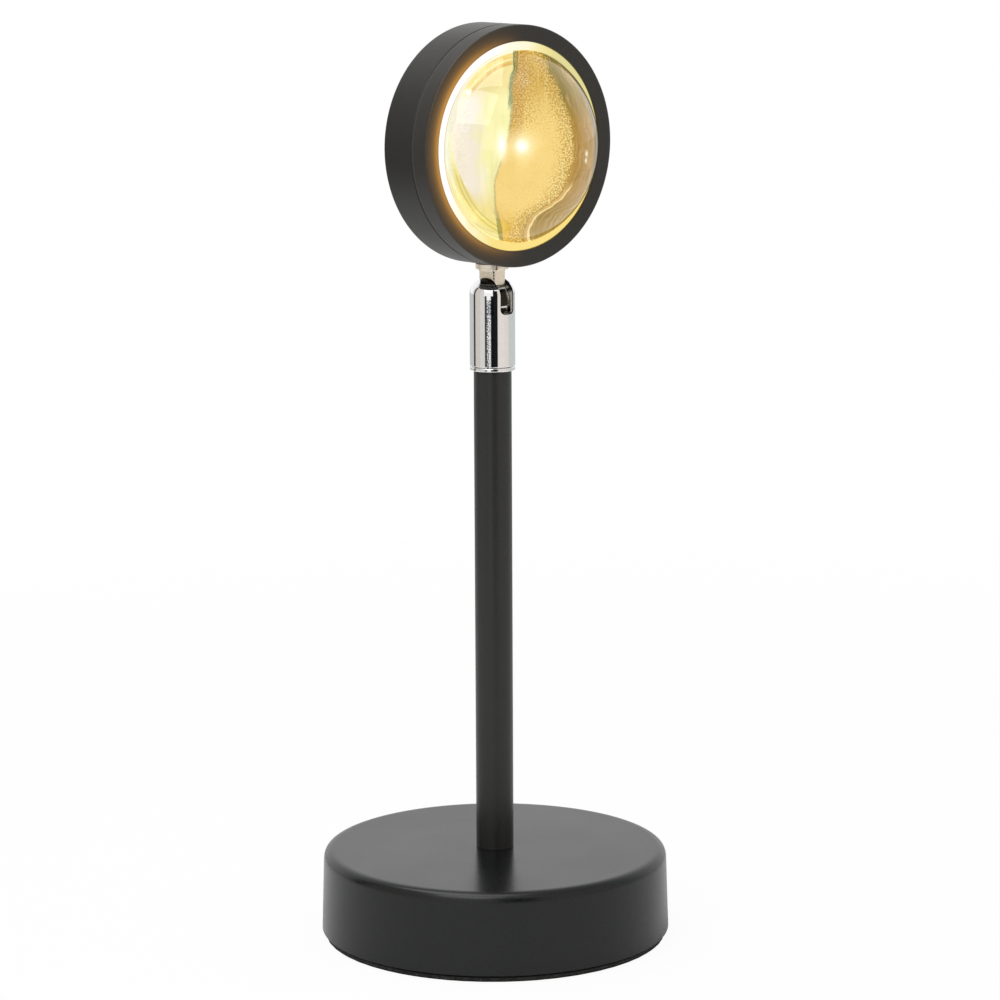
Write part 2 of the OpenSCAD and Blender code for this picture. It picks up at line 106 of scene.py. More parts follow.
def closed_grid(points: np.ndarray, wrap_rows: bool = True) -> Surface:
    """Joins a grid of points, rows by columns, into quads. The columns always wrap round.

    Args:
        points: array of rows x columns x 3.
        wrap_rows: True if the last row also joins the first, as on a ring.

    Returns:
        The surface, with a face between each four neighbours.
    """
    rows, columns = points.shape[:2]
    index = np.arange(rows * columns).reshape(rows, columns)
    index = np.concatenate([index, index[:, :1]], axis=1)
    if wrap_rows:
        index = np.concatenate([index, index[:1]], axis=0)
    faces = np.stack([index[:-1, :-1], index[:-1, 1:], index[1:, 1:], index[1:, :-1]], -1)
    return Surface(points.reshape(-1, 3), faces.reshape(-1, 4)).welded().outward()


def rounded(corners: Sequence[tuple[float, float, float]], closed: bool = True, steps: int = 7) -> Loop:
    """Rounds a polygon's corners and holds its straight runs with points near their ends.

    A corner with fillet f starts its arc at f / tan(half its angle) from the corner; the arc is
    a quadratic curve through both tangent points with the corner as its middle control.

    Args:
        corners: (radius, height, fillet) of each corner in millimetres.
        closed: True for a loop, False for a line whose ends stay sharp.
        steps: points on each arc.

    Returns:
        Array of (radius, height) points.
    """
    table = np.array(corners, float)
    place, fillet = table[:, :2], table[:, 2]
    before, after = np.roll(place, 1, 0) - place, np.roll(place, -1, 0) - place
    to_before = before / np.linalg.norm(before, axis=1)[:, None]
    to_after = after / np.linalg.norm(after, axis=1)[:, None]
    half = np.arccos(np.clip((to_before * to_after).sum(1), -1, 1)) / 2
    reach = fillet / np.tan(half)
    hold = np.minimum(0.35 * fillet + 0.02, 0.2)
    t = np.linspace(0, 1, steps)[None, :, None]
    start, end = place + to_before * reach[:, None], place + to_after * reach[:, None]
    arcs = (1 - t) ** 2 * start[:, None] + 2 * t * (1 - t) * place[:, None] + t**2 * end[:, None]
    lead_in = (start + to_before * hold[:, None])[:, None]
    lead_out = (end + to_after * hold[:, None])[:, None]
    blocks = np.concatenate([lead_in, arcs, lead_out], axis=1)
    if closed:
        return blocks.reshape(-1, 2)
    return np.concatenate([place[:1], blocks[1:-1].reshape(-1, 2), place[-1:]])


def revolve(profile: Loop, columns: int = 256, closed: bool = True) -> Surface:
    """Turns a profile round the Z axis: (r cos a, r sin a, z) for every angle a.

    Args:
        profile: (radius, height) points.
        columns: number of angles.
        closed: True if the profile is a loop, False if both its ends lie on the axis.

    Returns:
        The closed surface of revolution.
    """
    angle = np.arange(columns) * (2 * np.pi / columns)
    r, z = profile[:, :1], np.repeat(profile[:, 1:], columns, 1)
    return closed_grid(np.stack([r * np.cos(angle), r * np.sin(angle), z], -1), closed)


def smoothstep(x: np.ndarray) -> np.ndarray:
    """Returns 3x^2 - 2x^3 with x held between 0 and 1."""
    x = np.clip(x, 0, 1)
    return x * x * (3 - 2 * x)


def make_piece(
    name: str,
    surface: Surface,
    material: bpy.types.Material,
    body: str,
    replaces: Sequence[str] = (),
    crease: float = 40.0,
) -> bpy.types.Object:
    """Makes a mesh object of a surface, dresses it and ties it to its CAD body.

    Args:
        name: the piece's name.
        surface: points in millimetres, and faces.
        material: its finish.
        body: the CAD body that carries it.
        replaces: CAD nodes that it stands for.
        crease: edges turning more than this many degrees stay sharp.

    Returns:
        The object, at the origin.
    """
    faces = surface.faces
    keep = faces != np.roll(faces, 1, axis=1)
    totals = keep.sum(1)
    mesh = bpy.data.meshes.new(name)
    mesh.vertices.add(len(surface.points))
    mesh.vertices.foreach_set("co", (surface.points * MM).astype(np.float32).ravel())
    mesh.loops.add(int(totals.sum()))
    mesh.loops.foreach_set("vertex_index", faces[keep].astype(np.int32))
    mesh.polygons.add(len(faces))
    mesh.polygons.foreach_set("loop_start", (np.cumsum(totals) - totals).astype(np.int32))
    mesh.update(calc_edges=True)
    mesh.validate()
    mesh.polygons.foreach_set("use_smooth", np.ones(len(mesh.polygons), bool))
    mesh.set_sharp_from_angle(angle=math.radians(crease))
    mesh.materials.append(material)
    piece = bpy.data.objects.new(name, mesh)
    bpy.context.scene.collection.objects.link(piece)
    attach(piece, body)
    if replaces:
        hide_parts(*replaces)
    LOG.info("%s: %d faces on %s", name, len(mesh.polygons), body)
    return piece


# ---------------------------------------------------------------- materials


class Graph:
    """A material's node tree, with short calls for the nodes that the finishes use."""

    def __init__(self, name: str) -> None:
        """Starts an empty tree with its output and one Principled shader."""
        self.material = bpy.data.materials.new(name)
        self.material.use_nodes = True
        self.tree = self.material.node_tree
        self.tree.nodes.clear()
        self.output = self.tree.nodes.new("ShaderNodeOutputMaterial")
        self.shader = self.tree.nodes.new("ShaderNodeBsdfPrincipled")
        self.tree.links.new(self.shader.outputs[0], self.output.inputs["Surface"])
        self.place = self.tree.nodes.new("ShaderNodeTexCoord").outputs["Object"]

    @classmethod
    def again(cls, material: bpy.types.Material) -> "Graph":
        """Opens the tree of a material that another finish has dressed."""
        graph = cls.__new__(cls)
        graph.material, graph.tree = material, material.node_tree
        graph.shader = next(n for n in graph.tree.nodes if n.type == "BSDF_PRINCIPLED")
        graph.place = next(n for n in graph.tree.nodes if n.type == "TEX_COORD").outputs["Object"]
        graph.colour_in = graph.shader.inputs["Base Color"].links[0].from_socket
        return graph

    def feed(self, target: Socket, value: object) -> None:
        """Links a socket to the target, or writes a plain value or colour into it."""
        if isinstance(value, bpy.types.NodeSocket):
            self.tree.links.new(value, target)
        elif isinstance(value, tuple) and len(value) == 3 and target.type == "RGBA":
            target.default_value = (*value, 1.0)
        else:
            target.default_value = value

    def node(self, kind: str, inputs: Optional[dict] = None, **settings: object) -> Node:
        """Adds a node.

        Args:
            kind: the node's type without its ShaderNode prefix.
            inputs: socket names or numbers, each with a value or another node's socket.
            settings: the node's own properties.

        Returns:
            The node.
        """
        made = self.tree.nodes.new("ShaderNode" + kind)
        for key, value in settings.items():
            setattr(made, key, value)
        for key, value in (inputs or {}).items():
            self.feed(made.inputs[key], value)
        return made

    def math(self, operation: str, a: object, b: object = 0.0, clamp: bool = False) -> Socket:
        """Returns the result of a Math node on a and b."""
        return self.node("Math", {0: a, 1: b}, operation=operation, use_clamp=clamp).outputs[0]

    def noise(
        self, scale: float, detail: float = 3.0, place: Optional[Socket] = None, rough: float = 0.5
    ) -> Socket:
        """Returns a noise value between 0 and 1.

        Args:
            scale: cells in one unit of the place, which is a metre on the object itself.
            detail: octaves.
            place: where the noise is read, or None for the place on the object.
            rough: how much each octave keeps of the one before.

        Returns:
            The value.
        """
        inputs = {"Vector": place or self.place, "Scale": scale, "Detail": detail, "Roughness": rough}
        return self.node("TexNoise", inputs).outputs["Fac"]

    def band(
        self, value: Socket, low: float, high: float, to_low: float = 0.0, to_high: float = 1.0
    ) -> Socket:
        """Returns value carried smoothly from low..high to to_low..to_high, and held outside."""
        inputs = {"Value": value, "From Min": low, "From Max": high, "To Min": to_low, "To Max": to_high}
        return self.node("MapRange", inputs, interpolation_type="SMOOTHSTEP").outputs[0]

    def mix(self, share: object, a: object, b: object) -> Socket:
        """Returns the colour a going to b as share goes from 0 to 1."""
        made = self.node("Mix", None, data_type="RGBA", blend_type="MIX")
        for key, value in ((0, share), (6, a), (7, b)):
            self.feed(made.inputs[key], value)
        return made.outputs[2]

    def ramp(self, share: Socket, stops: Sequence[tuple[float, Colour]]) -> Socket:
        """Returns the colour that lies at share on a line of (place, colour) stops."""
        made = self.node("ValToRGB", {0: share})
        elements = made.color_ramp.elements
        while len(elements) < len(stops):
            elements.new(0.5)
        for element, (at, colour) in zip(elements, stops):
            element.position, element.color = at, (*colour, 1.0)
        return made.outputs[0]

    def bump(
        self, height: Socket, distance: float, strength: float = 1.0, under: Optional[Socket] = None
    ) -> Socket:
        """Returns a normal pushed by a height pattern that spans distance, in millimetres."""
        inputs = {"Height": height, "Distance": distance * MM, "Strength": strength}
        if under is not None:
            inputs["Normal"] = under
        return self.node("Bump", inputs).outputs[0]

    def centred(self, centre: tuple[float, float, float]) -> Socket:
        """Returns the place on the object in millimetres, measured from a centre."""
        scale = 1 / MM
        inputs = {
            "Vector": self.place,
            "Location": tuple(-c for c in centre),
            "Scale": (scale, scale, scale),
        }
        return self.node("Mapping", inputs, vector_type="POINT").outputs[0]

    def split(self, vector: Socket) -> tuple[Socket, Socket, Socket]:
        """Returns a vector's three parts."""
        made = self.node("SeparateXYZ", {0: vector})
        return tuple(made.outputs[:3])

    def dot(self, vector: Socket, direction: tuple[float, float, float]) -> Socket:
        """Returns a vector's share along a direction."""
        return self.node("VectorMath", {0: vector, 1: direction}, operation="DOT_PRODUCT").outputs["Value"]

    def times(self, *factors: object) -> Socket:
        """Returns the product of two or more values."""
        product = factors[0]
        for factor in factors[1:]:
            product = self.math("MULTIPLY", product, factor)
        return product

    def plus(self, a: object, b: object) -> Socket:
        """Returns a + b."""
        return self.math("ADD", a, b)

    def minus(self, a: object, b: object) -> Socket:
        """Returns a - b."""
        return self.math("SUBTRACT", a, b)

    def over(self, a: object, b: object) -> Socket:
        """Returns a / b."""
        return self.math("DIVIDE", a, b)

    def most(self, a: object, b: object) -> Socket:
        """Returns the larger of two values."""
        return self.math("MAXIMUM", a, b)

    def hypot(self, a: Socket, b: Socket) -> Socket:
        """Returns sqrt(a^2 + b^2)."""
        return self.math("SQRT", self.plus(self.times(a, a), self.times(b, b)))

    def length(self, vector: Socket) -> Socket:
        """Returns a vector's length."""
        return self.node("VectorMath", {0: vector}, operation="LENGTH").outputs["Value"]

    def flat(self, a: Socket, b: Socket) -> Socket:
        """Returns the vector (a, b, 0)."""
        return self.node("CombineXYZ", {0: a, 1: b}).outputs[0]

    def paint(self, under: object, share: object, colour: object) -> Socket:
        """Returns a colour with another laid over it by a share."""
        return self.mix(share, under, colour)

    def near(self, value: Socket, low: float, high: float, soft: float) -> Socket:
        """Returns 1 where value lies between low and high, and 0 beyond a soft edge on each side."""
        return self.times(self.band(value, low - soft, low), self.band(value, high + soft, high))

    def spot(self, x: Socket, z: Socket, at: tuple[float, float], size: tuple[float, float]) -> Socket:
        """Returns a soft oval spot: exp(-(dx / width)^2 - (dz / height)^2)."""
        dx = self.over(self.minus(x, at[0]), size[0])
        dz = self.over(self.minus(z, at[1]), size[1])
        square = self.plus(self.times(dx, dx), self.times(dz, dz))
        return self.math("EXPONENT", self.times(square, -1.0))

    def curve(self, height: Socket, points: Sequence[tuple[float, float]], span: float) -> Socket:
        """Returns how far across a smooth line lies at a height.

        Args:
            height: height in millimetres, from -span to span.
            points: (height, across) of each bend in millimetres.
            span: the largest height or distance across.

        Returns:
            The distance across in millimetres.
        """
        share = self.over(self.plus(height, span), 2 * span)
        made = self.node("FloatCurve", {"Factor": 1.0, "Value": share})
        line = made.mapping.curves[0]
        places = [((h + span) / (2 * span), (a + span) / (2 * span)) for h, a in points]
        line.points[0].location, line.points[1].location = places[0], places[-1]
        for place in places[1:-1]:
            line.points.new(*place)
        for point in line.points:
            point.handle_type = "AUTO_CLAMPED"
        made.mapping.update()
        return self.minus(self.times(made.outputs[0], 2 * span), span)

    def dress(self, **values: object) -> bpy.types.Material:
        """Sets the shader's sockets, with underscores for spaces, and returns the material."""
        for key, value in values.items():
            self.feed(self.shader.inputs[key.replace("_", " ")], value)
        return self.material


class WorldGraph(Graph):
    """The world's node tree."""

    def __init__(self, world: bpy.types.World) -> None:
        """Empties the world's tree and adds its output."""
        world.use_nodes = True
        self.tree = world.node_tree
        self.tree.nodes.clear()
        self.output = self.tree.nodes.new("ShaderNodeOutputWorld")


@dataclass(frozen=True)
class PowderCoat:
    """Satin black powder coat: a fine orange-peel skin with a few brighter grains."""

    name: str
    colour: Colour
    grain: Colour
    roughness: float
    peel: float = 0.008
    shine: float = 0.4
    fine_scale: float = 5200.0
    broad_scale: float = 420.0
    cloud_scale: float = 38.0

    def skin(self, graph: Graph) -> dict[str, object]:
        """Builds the coat's colour, roughness and skin.

        Args:
            graph: the material's tree.

        Returns:
            Values for the shader's sockets.
        """
        fine, broad = graph.noise(self.fine_scale, 2), graph.noise(self.broad_scale, 3)
        cloud = graph.noise(self.cloud_scale, 2)
        colour = graph.mix(graph.band(fine, 0.5, 0.8), self.colour, self.grain)
        rough = graph.plus(graph.band(fine, 0.3, 0.7, self.roughness - 0.05, self.roughness + 0.05),
                           graph.band(cloud, 0.3, 0.7, -0.02, 0.02))
        skin = graph.bump(fine, self.peel, 0.6, graph.bump(broad, 3 * self.peel, 0.35))
        return {"Base_Color": colour, "Roughness": rough, "Normal": skin, "Specular_IOR_Level": self.shine}

    def build(self) -> bpy.types.Material:
        """Returns the material."""
        graph = Graph(self.name)
        return graph.dress(**self.skin(graph))


@dataclass(frozen=True)
class HaloFace:
    """The bezel's coat, with a painted glow of the lens's warm light on its face and painted shade in the
    seam behind it.

    The painted glow falls as exp(-2 distance / reach) from the opening, up to a cap, and shows on the side
    that lies to the picture's left. Next to the seam a pale band is painted on the coat as a highlight.
    """

    name: str
    coat: PowderCoat
    centre_z: float
    opening_r: float
    face_y: float
    seam_y: float
    reach: float = 3.4
    cap: float = 0.6
    gain: float = 1.65
    faint_painted_glow: Colour = (0.22, 0.105, 0.010)
    strong_painted_glow: Colour = (0.56, 0.25, 0.030)
    painted_highlight: Colour = (0.055, 0.052, 0.045)
    painted_seam_shade: Colour = (0.0005, 0.0005, 0.0005)

    def build(self) -> bpy.types.Material:
        """Returns the material."""
        graph = Graph(self.name)
        values = self.coat.skin(graph)
        x, y, z = graph.split(graph.centred((0, 0, self.centre_z)))
        # painted glow: warm emission on the face round the opening, fading outwards, standing for the lens's
        # light
        away = graph.over(graph.minus(graph.hypot(x, z), self.opening_r), self.reach)
        fall = graph.math("EXPONENT", graph.times(graph.most(away, 0.0), -2.0))
        fall = graph.math("MINIMUM", fall, self.cap)
        side = graph.band(graph.over(x, self.opening_r), -0.95, 0.1, 1.0, 0.0)
        level = graph.band(graph.over(z, self.opening_r), -1.0, 1.0, -0.15, 0.15)
        front = graph.band(y, self.face_y + 0.5, self.face_y + 0.1)
        # painted highlight: a pale band next to the seam; painted shade: near black in the seam's groove
        painted_highlight = graph.near(y, self.seam_y - 0.80, self.seam_y - 0.42, 0.08)
        painted_seam_shade = graph.near(y, self.seam_y - 0.34, self.seam_y + 0.05, 0.04)
        coat = graph.mix(graph.times(painted_highlight, 0.6), values["Base_Color"], self.painted_highlight)
        values["Base_Color"] = graph.mix(painted_seam_shade, coat, self.painted_seam_shade)
        values["Roughness"] = graph.most(values["Roughness"], painted_seam_shade)
        painted_glow = graph.mix(graph.plus(fall, level), self.faint_painted_glow, self.strong_painted_glow)
        return graph.dress(**values, Emission_Color=painted_glow,
                           Emission_Strength=graph.times(fall, side, front, self.gain))


@dataclass(frozen=True)
class BrightMetal:
    """Plated metal: an even mirror with a breath of haze and hair-fine rubbing marks."""

    name: str
    colour: Colour
    second: Colour
    roughness: float = 0.06
    haze: float = 0.05
    marks: float = 0.0015
    scale: float = 900.0

    def build(self) -> bpy.types.Material:
        """Returns the material."""
        graph = Graph(self.name)
        haze = graph.noise(self.scale, 4)
        fine = graph.noise(6 * self.scale, 2)
        colour = graph.mix(graph.band(haze, 0.35, 0.7), self.colour, self.second)
        rough = graph.band(haze, 0.3, 0.75, self.roughness, self.roughness + self.haze)
        return graph.dress(Base_Color=colour, Metallic=1.0, Roughness=rough,
                           Normal=graph.bump(fine, self.marks, 0.5))


def slot_axes(turn: float) -> tuple[tuple[float, float, float], tuple[float, float, float]]:
    """Returns the directions across the knuckle's slot and ahead through it.

    Args:
        turn: the slot's turn from the lens's direction, in degrees.

    Returns:
        Both directions: (cos a, sin a, 0) and (sin a, -cos a, 0).
    """
    a = math.radians(turn)
    return (math.cos(a), math.sin(a), 0.0), (math.sin(a), -math.cos(a), 0.0)


@dataclass(frozen=True)
class SleeveChrome(BrightMetal):
    """Chrome with painted shade and dark reflection on its crown and on the slot's lips and lower walls, and
    a scuffed strip down its skirt.

    Heights and distances are millimetres from the ball's centre, and the strip's ends are
    angles about the sleeve's axis in radians.
    """

    ball_z: float = 183.8
    dome_r: float = 7.0
    crown_r: float = 4.95
    patch_w: float = 3.35
    slot_half: float = 2.5
    slot_turn: float = 5.0
    across: tuple[float, float, float] = (0.7693, -0.6389, 0.0)
    soft: float = 0.12
    strip: tuple[float, float] = (-2.53, -2.22)
    strip_line: float = -2.45
    strip_top: float = 1.0
    scuff: Colour = (0.03, 0.045, 0.06)
    painted_shade_colours: tuple[Colour, Colour] = ((0.006, 0.006, 0.004), (0.020, 0.020, 0.016))

    def painted_shade(self, graph: Graph, place: Socket) -> Socket:
        """Returns where the chrome is painted dark as shade and dark reflection: on the crown, and on the
        slot's lips and lower walls.

        Args:
            graph: the material's tree.
            place: the place from the ball's centre.

        Returns:
            1 where it is painted dark and 0 elsewhere.
        """
        x, y, z = graph.split(place)
        reach, from_ball = graph.hypot(x, y), graph.length(place)
        outside = graph.band(from_ball, self.dome_r - 0.05, self.dome_r - 0.015)
        patch = graph.band(graph.dot(place, self.across), -self.patch_w - self.soft,
                           -self.patch_w + self.soft)
        crown = graph.times(graph.band(reach, self.crown_r + self.soft, self.crown_r - self.soft),
                            graph.band(z, 2.0, 3.0), outside, patch)
        across, ahead = (graph.dot(place, way) for way in slot_axes(self.slot_turn))
        side = graph.math("ABSOLUTE", across)
        wall = graph.times(graph.band(side, self.slot_half + 0.14, self.slot_half + 0.06),
                           graph.band(ahead, -3.2, -2.9))
        lip = graph.times(graph.band(from_ball, self.dome_r - 1.0, self.dome_r - 0.85),
                          graph.band(z, 2.7, 3.2))
        lower = graph.times(graph.near(reach, 6.05, 6.33, 0.05), graph.near(z, -3.6, 3.0, 0.2))
        return graph.most(crown, graph.times(wall, graph.most(lip, lower)))

    def worn(self, graph: Graph, place: Socket, speck: Socket) -> Socket:
        """Returns where the strip is scuffed: in specks, thicker at its foot and along one line.

        Args:
            graph: the material's tree.
            place: the place from the ball's centre.
            speck: a fine noise.

        Returns:
            How much the scuffs cover.
        """
        x, y, z = graph.split(place)
        around = graph.math("ARCTAN2", y, x)
        strip = graph.times(graph.near(around, *self.strip, 0.03),
                            graph.band(z, self.strip_top, self.strip_top - 0.4))
        thick = graph.most(graph.band(z, -5.5, -2.5),
                           graph.near(around, self.strip[0], self.strip_line, 0.03))
        return graph.times(strip, graph.band(graph.plus(speck, graph.times(thick, 0.09)), 0.50, 0.58), 0.9)

    def build(self) -> bpy.types.Material:
        """Returns the material."""
        graph = Graph.again(super().build())
        place, speck = graph.centred((0, 0, self.ball_z)), graph.noise(4200, 2)
        painted_shade = self.painted_shade(graph, place)
        colour = graph.mix(self.worn(graph, place, speck), graph.colour_in, self.scuff)
        painted_shade_colours = graph.mix(graph.band(speck, 0.4, 0.6), *self.painted_shade_colours)
        # painted shade: a near-black, non-metallic colour on the crown and in the slot
        return graph.dress(Base_Color=graph.mix(painted_shade, colour, painted_shade_colours), Metallic=graph.minus(1.0, painted_shade),
                           Specular_IOR_Level=0.05)


@dataclass(frozen=True)
class NickelStemPaintedLight:
    """Satin nickel bar and flange over a ball painted dark as shade and dark reflection inside the slot.

    The ball has a painted highlight line where the slot's bottom meets it, another under the bar, and a grey
    painted reflection on its flank. A painted shade line runs round the front of the bar's foot and another
    above the flange, and the pricks are painted dark as shade in their dents. Heights are millimetres from
    the ball's centre.
    """

    name: str
    ball_z: float
    turn: float
    pricks: tuple[tuple[float, float, float], ...]
    neck: tuple[Colour, Colour] = ((0.97, 0.88, 0.74), (0.91, 0.81, 0.67))
    ball: Colour = (0.030, 0.026, 0.018)
    painted_flank_reflection: Colour = (0.42, 0.41, 0.37)
    painted_highlight: Colour = (0.93, 0.92, 0.84)
    foot: Colour = (0.07, 0.075, 0.03)
    shade: Colour = (0.10, 0.08, 0.05)
    prick: Colour = (0.02, 0.010, 0.005)
    join: float = 4.15
    slot_line: float = -1.42
    flange_top: float = 10.38

    def build(self) -> bpy.types.Material:
        """Returns the material."""
        graph = Graph(self.name)
        haze, fine = graph.noise(700, 4), graph.noise(4200, 2)
        place = graph.centred((0, 0, self.ball_z))
        z = graph.split(place)[2]
        side, ahead = (graph.dot(place, way) for way in slot_axes(self.turn))
        low = graph.band(z, self.join + 0.04, self.join - 0.04)
        colour = graph.mix(graph.band(haze, 0.35, 0.7), *self.neck)
        # painted shade: an olive dark line round the front of the bar's foot, where it meets the ball
        foot = graph.times(graph.near(z, self.join + 0.10, self.join + 0.50, 0.08),
                           graph.band(ahead, 2.6, 2.9), 0.9)
        colour = graph.mix(foot, colour, self.foot)
        colour = graph.mix(graph.band(z, self.flange_top, self.flange_top + 0.12), colour, self.shade)
        # painted reflection: a grey band on the ball's flank
        painted_flank_reflection = graph.band(graph.math("ARCTAN2", side, ahead), 0.10, 0.32)
        # painted highlight lines on the ball: under the bar and at the slot's bottom
        under_bar = graph.near(z, self.join - 0.62, self.join - 0.28, 0.08)
        in_slot = graph.times(graph.near(z, self.slot_line - 0.20, self.slot_line + 0.20, 0.08),
                              graph.band(painted_flank_reflection, 0.6, 0.1))
        line = graph.most(under_bar, in_slot)
        # the ball is painted dark as shade and dark reflection inside the slot
        colour = graph.mix(low, colour, graph.mix(line, graph.mix(painted_flank_reflection, self.ball, self.painted_flank_reflection), self.painted_highlight))
        rough = graph.minus(graph.band(haze, 0.3, 0.75, 0.38, 0.48), graph.times(low, 0.20))
        matt = graph.times(line, low)
        # the pricks are painted near black as shade in their dents
        for at in self.pricks:
            prick = graph.band(graph.length(graph.centred(at)), 0.42, 0.30)
            colour, matt = graph.mix(prick, colour, self.prick), graph.most(matt, prick)
        return graph.dress(Base_Color=colour, Metallic=graph.minus(1.0, matt), Roughness=rough,
                           Specular_IOR_Level=0.1, Normal=graph.bump(fine, 0.004, 0.5))


@dataclass(frozen=True)
class Grained:
    """A moulded, cast or laid-up surface: two near colours in a grain, with its bump."""

    name: str
    colour: Colour
    second: Colour
    roughness: float = 0.5
    spread: float = 0.1
    metallic: float = 0.0
    scale: float = 700.0
    relief: float = 0.01

    def build(self) -> bpy.types.Material:
        """Returns the material."""
        graph = Graph(self.name)
        grain = graph.noise(self.scale, 4)
        fine = graph.noise(5 * self.scale, 2)
        colour = graph.mix(graph.band(grain, 0.35, 0.65), self.colour, self.second)
        rough = graph.band(fine, 0.3, 0.7, self.roughness - self.spread / 2, self.roughness + self.spread / 2)
        return graph.dress(Base_Color=colour, Metallic=self.metallic, Roughness=rough,
                           Normal=graph.bump(fine, self.relief, 0.6, graph.bump(grain, 2 * self.relief, 0.4)))


@dataclass(frozen=True)
class Foam:
    """Closed-cell foam: open cells on its cut edge, pale specks painted as glints, and painted shade along
    its top and bottom edges.
    """

    name: str

    def build(self) -> bpy.types.Material:
        """Returns the material."""
        graph = Graph(self.name)
        cells = graph.node("TexVoronoi", {"Vector": graph.place, "Scale": 1500.0}).outputs["Distance"]
        broad = graph.noise(500, 4)
        # painted glints: pale specks
        painted_glints = graph.band(graph.noise(2600, 2), 0.62, 0.72)
        dark = graph.mix(graph.band(broad, 0.3, 0.7), (0.018, 0.018, 0.017), (0.045, 0.045, 0.042))
        _, _, z = graph.split(graph.centred((0, 0, 0)))
        # painted shade: near black along the pad's top and bottom edges
        painted_edge_shade = graph.most(graph.band(z, 1.15, 1.35), graph.band(z, 0.40, 0.22))
        colour = graph.mix(painted_edge_shade, graph.mix(painted_glints, dark, (0.12, 0.12, 0.12)), (0.0015, 0.0015, 0.0015))
        rough = graph.band(broad, 0.3, 0.7, 0.75, 0.95)
        skin = graph.bump(cells, 0.25, 0.7, graph.bump(broad, 0.5, 0.5))
        return graph.dress(Base_Color=colour, Roughness=rough, Normal=skin, Specular_IOR_Level=0.2)


@dataclass(frozen=True)
class GlowRing:
    """Pale holder ring lit from inside: near white on the picture's left, yellow on its right."""

    name: str
    centre_z: float
    front_y: float
    stops: tuple[tuple[float, Colour], ...] = (
        (0.0, (0.99, 0.985, 0.96)), (0.25, (0.93, 0.88, 0.65)), (0.50, (0.86, 0.77, 0.36)),
        (0.72, (0.87, 0.67, 0.19)), (1.0, (0.89, 0.68, 0.19)))
    corner: Colour = (0.69, 0.63, 0.26)
    bore: tuple[Colour, Colour] = ((0.85, 0.68, 0.20), (0.88, 0.80, 0.42))
    body: Colour = (0.10, 0.09, 0.06)

    def build(self) -> bpy.types.Material:
        """Returns the material."""
        graph = Graph(self.name)
        x, y, z = graph.split(graph.centred((0, 0, self.centre_z)))
        cloud = graph.noise(160, 3)
        slant = graph.plus(graph.times(x, 0.030), graph.most(graph.times(z, -0.010), graph.times(z, -0.018)))
        slant = graph.plus(slant, graph.band(cloud, 0.3, 0.7, -0.06, 0.06))
        face = graph.ramp(graph.math("ADD", slant, 0.5, clamp=True), self.stops)
        face = graph.mix(graph.times(graph.band(x, 6, 16), graph.band(z, 2, 12)), face, self.corner)
        front = graph.band(y, self.front_y + 0.6, self.front_y + 0.1)
        light = graph.mix(front, graph.mix(graph.band(z, -20, 20), *self.bore), face)
        return graph.dress(Base_Color=self.body, Roughness=graph.band(cloud, 0.3, 0.7, 0.45, 0.55),
                           Emission_Color=light, Emission_Strength=1.0)


@dataclass(frozen=True)
class PaintedLightSpot:
    """A soft bright oval of painted light in the lens's picture."""

    at: tuple[float, float]
    size: tuple[float, float]
    level: float
    tint: Colour


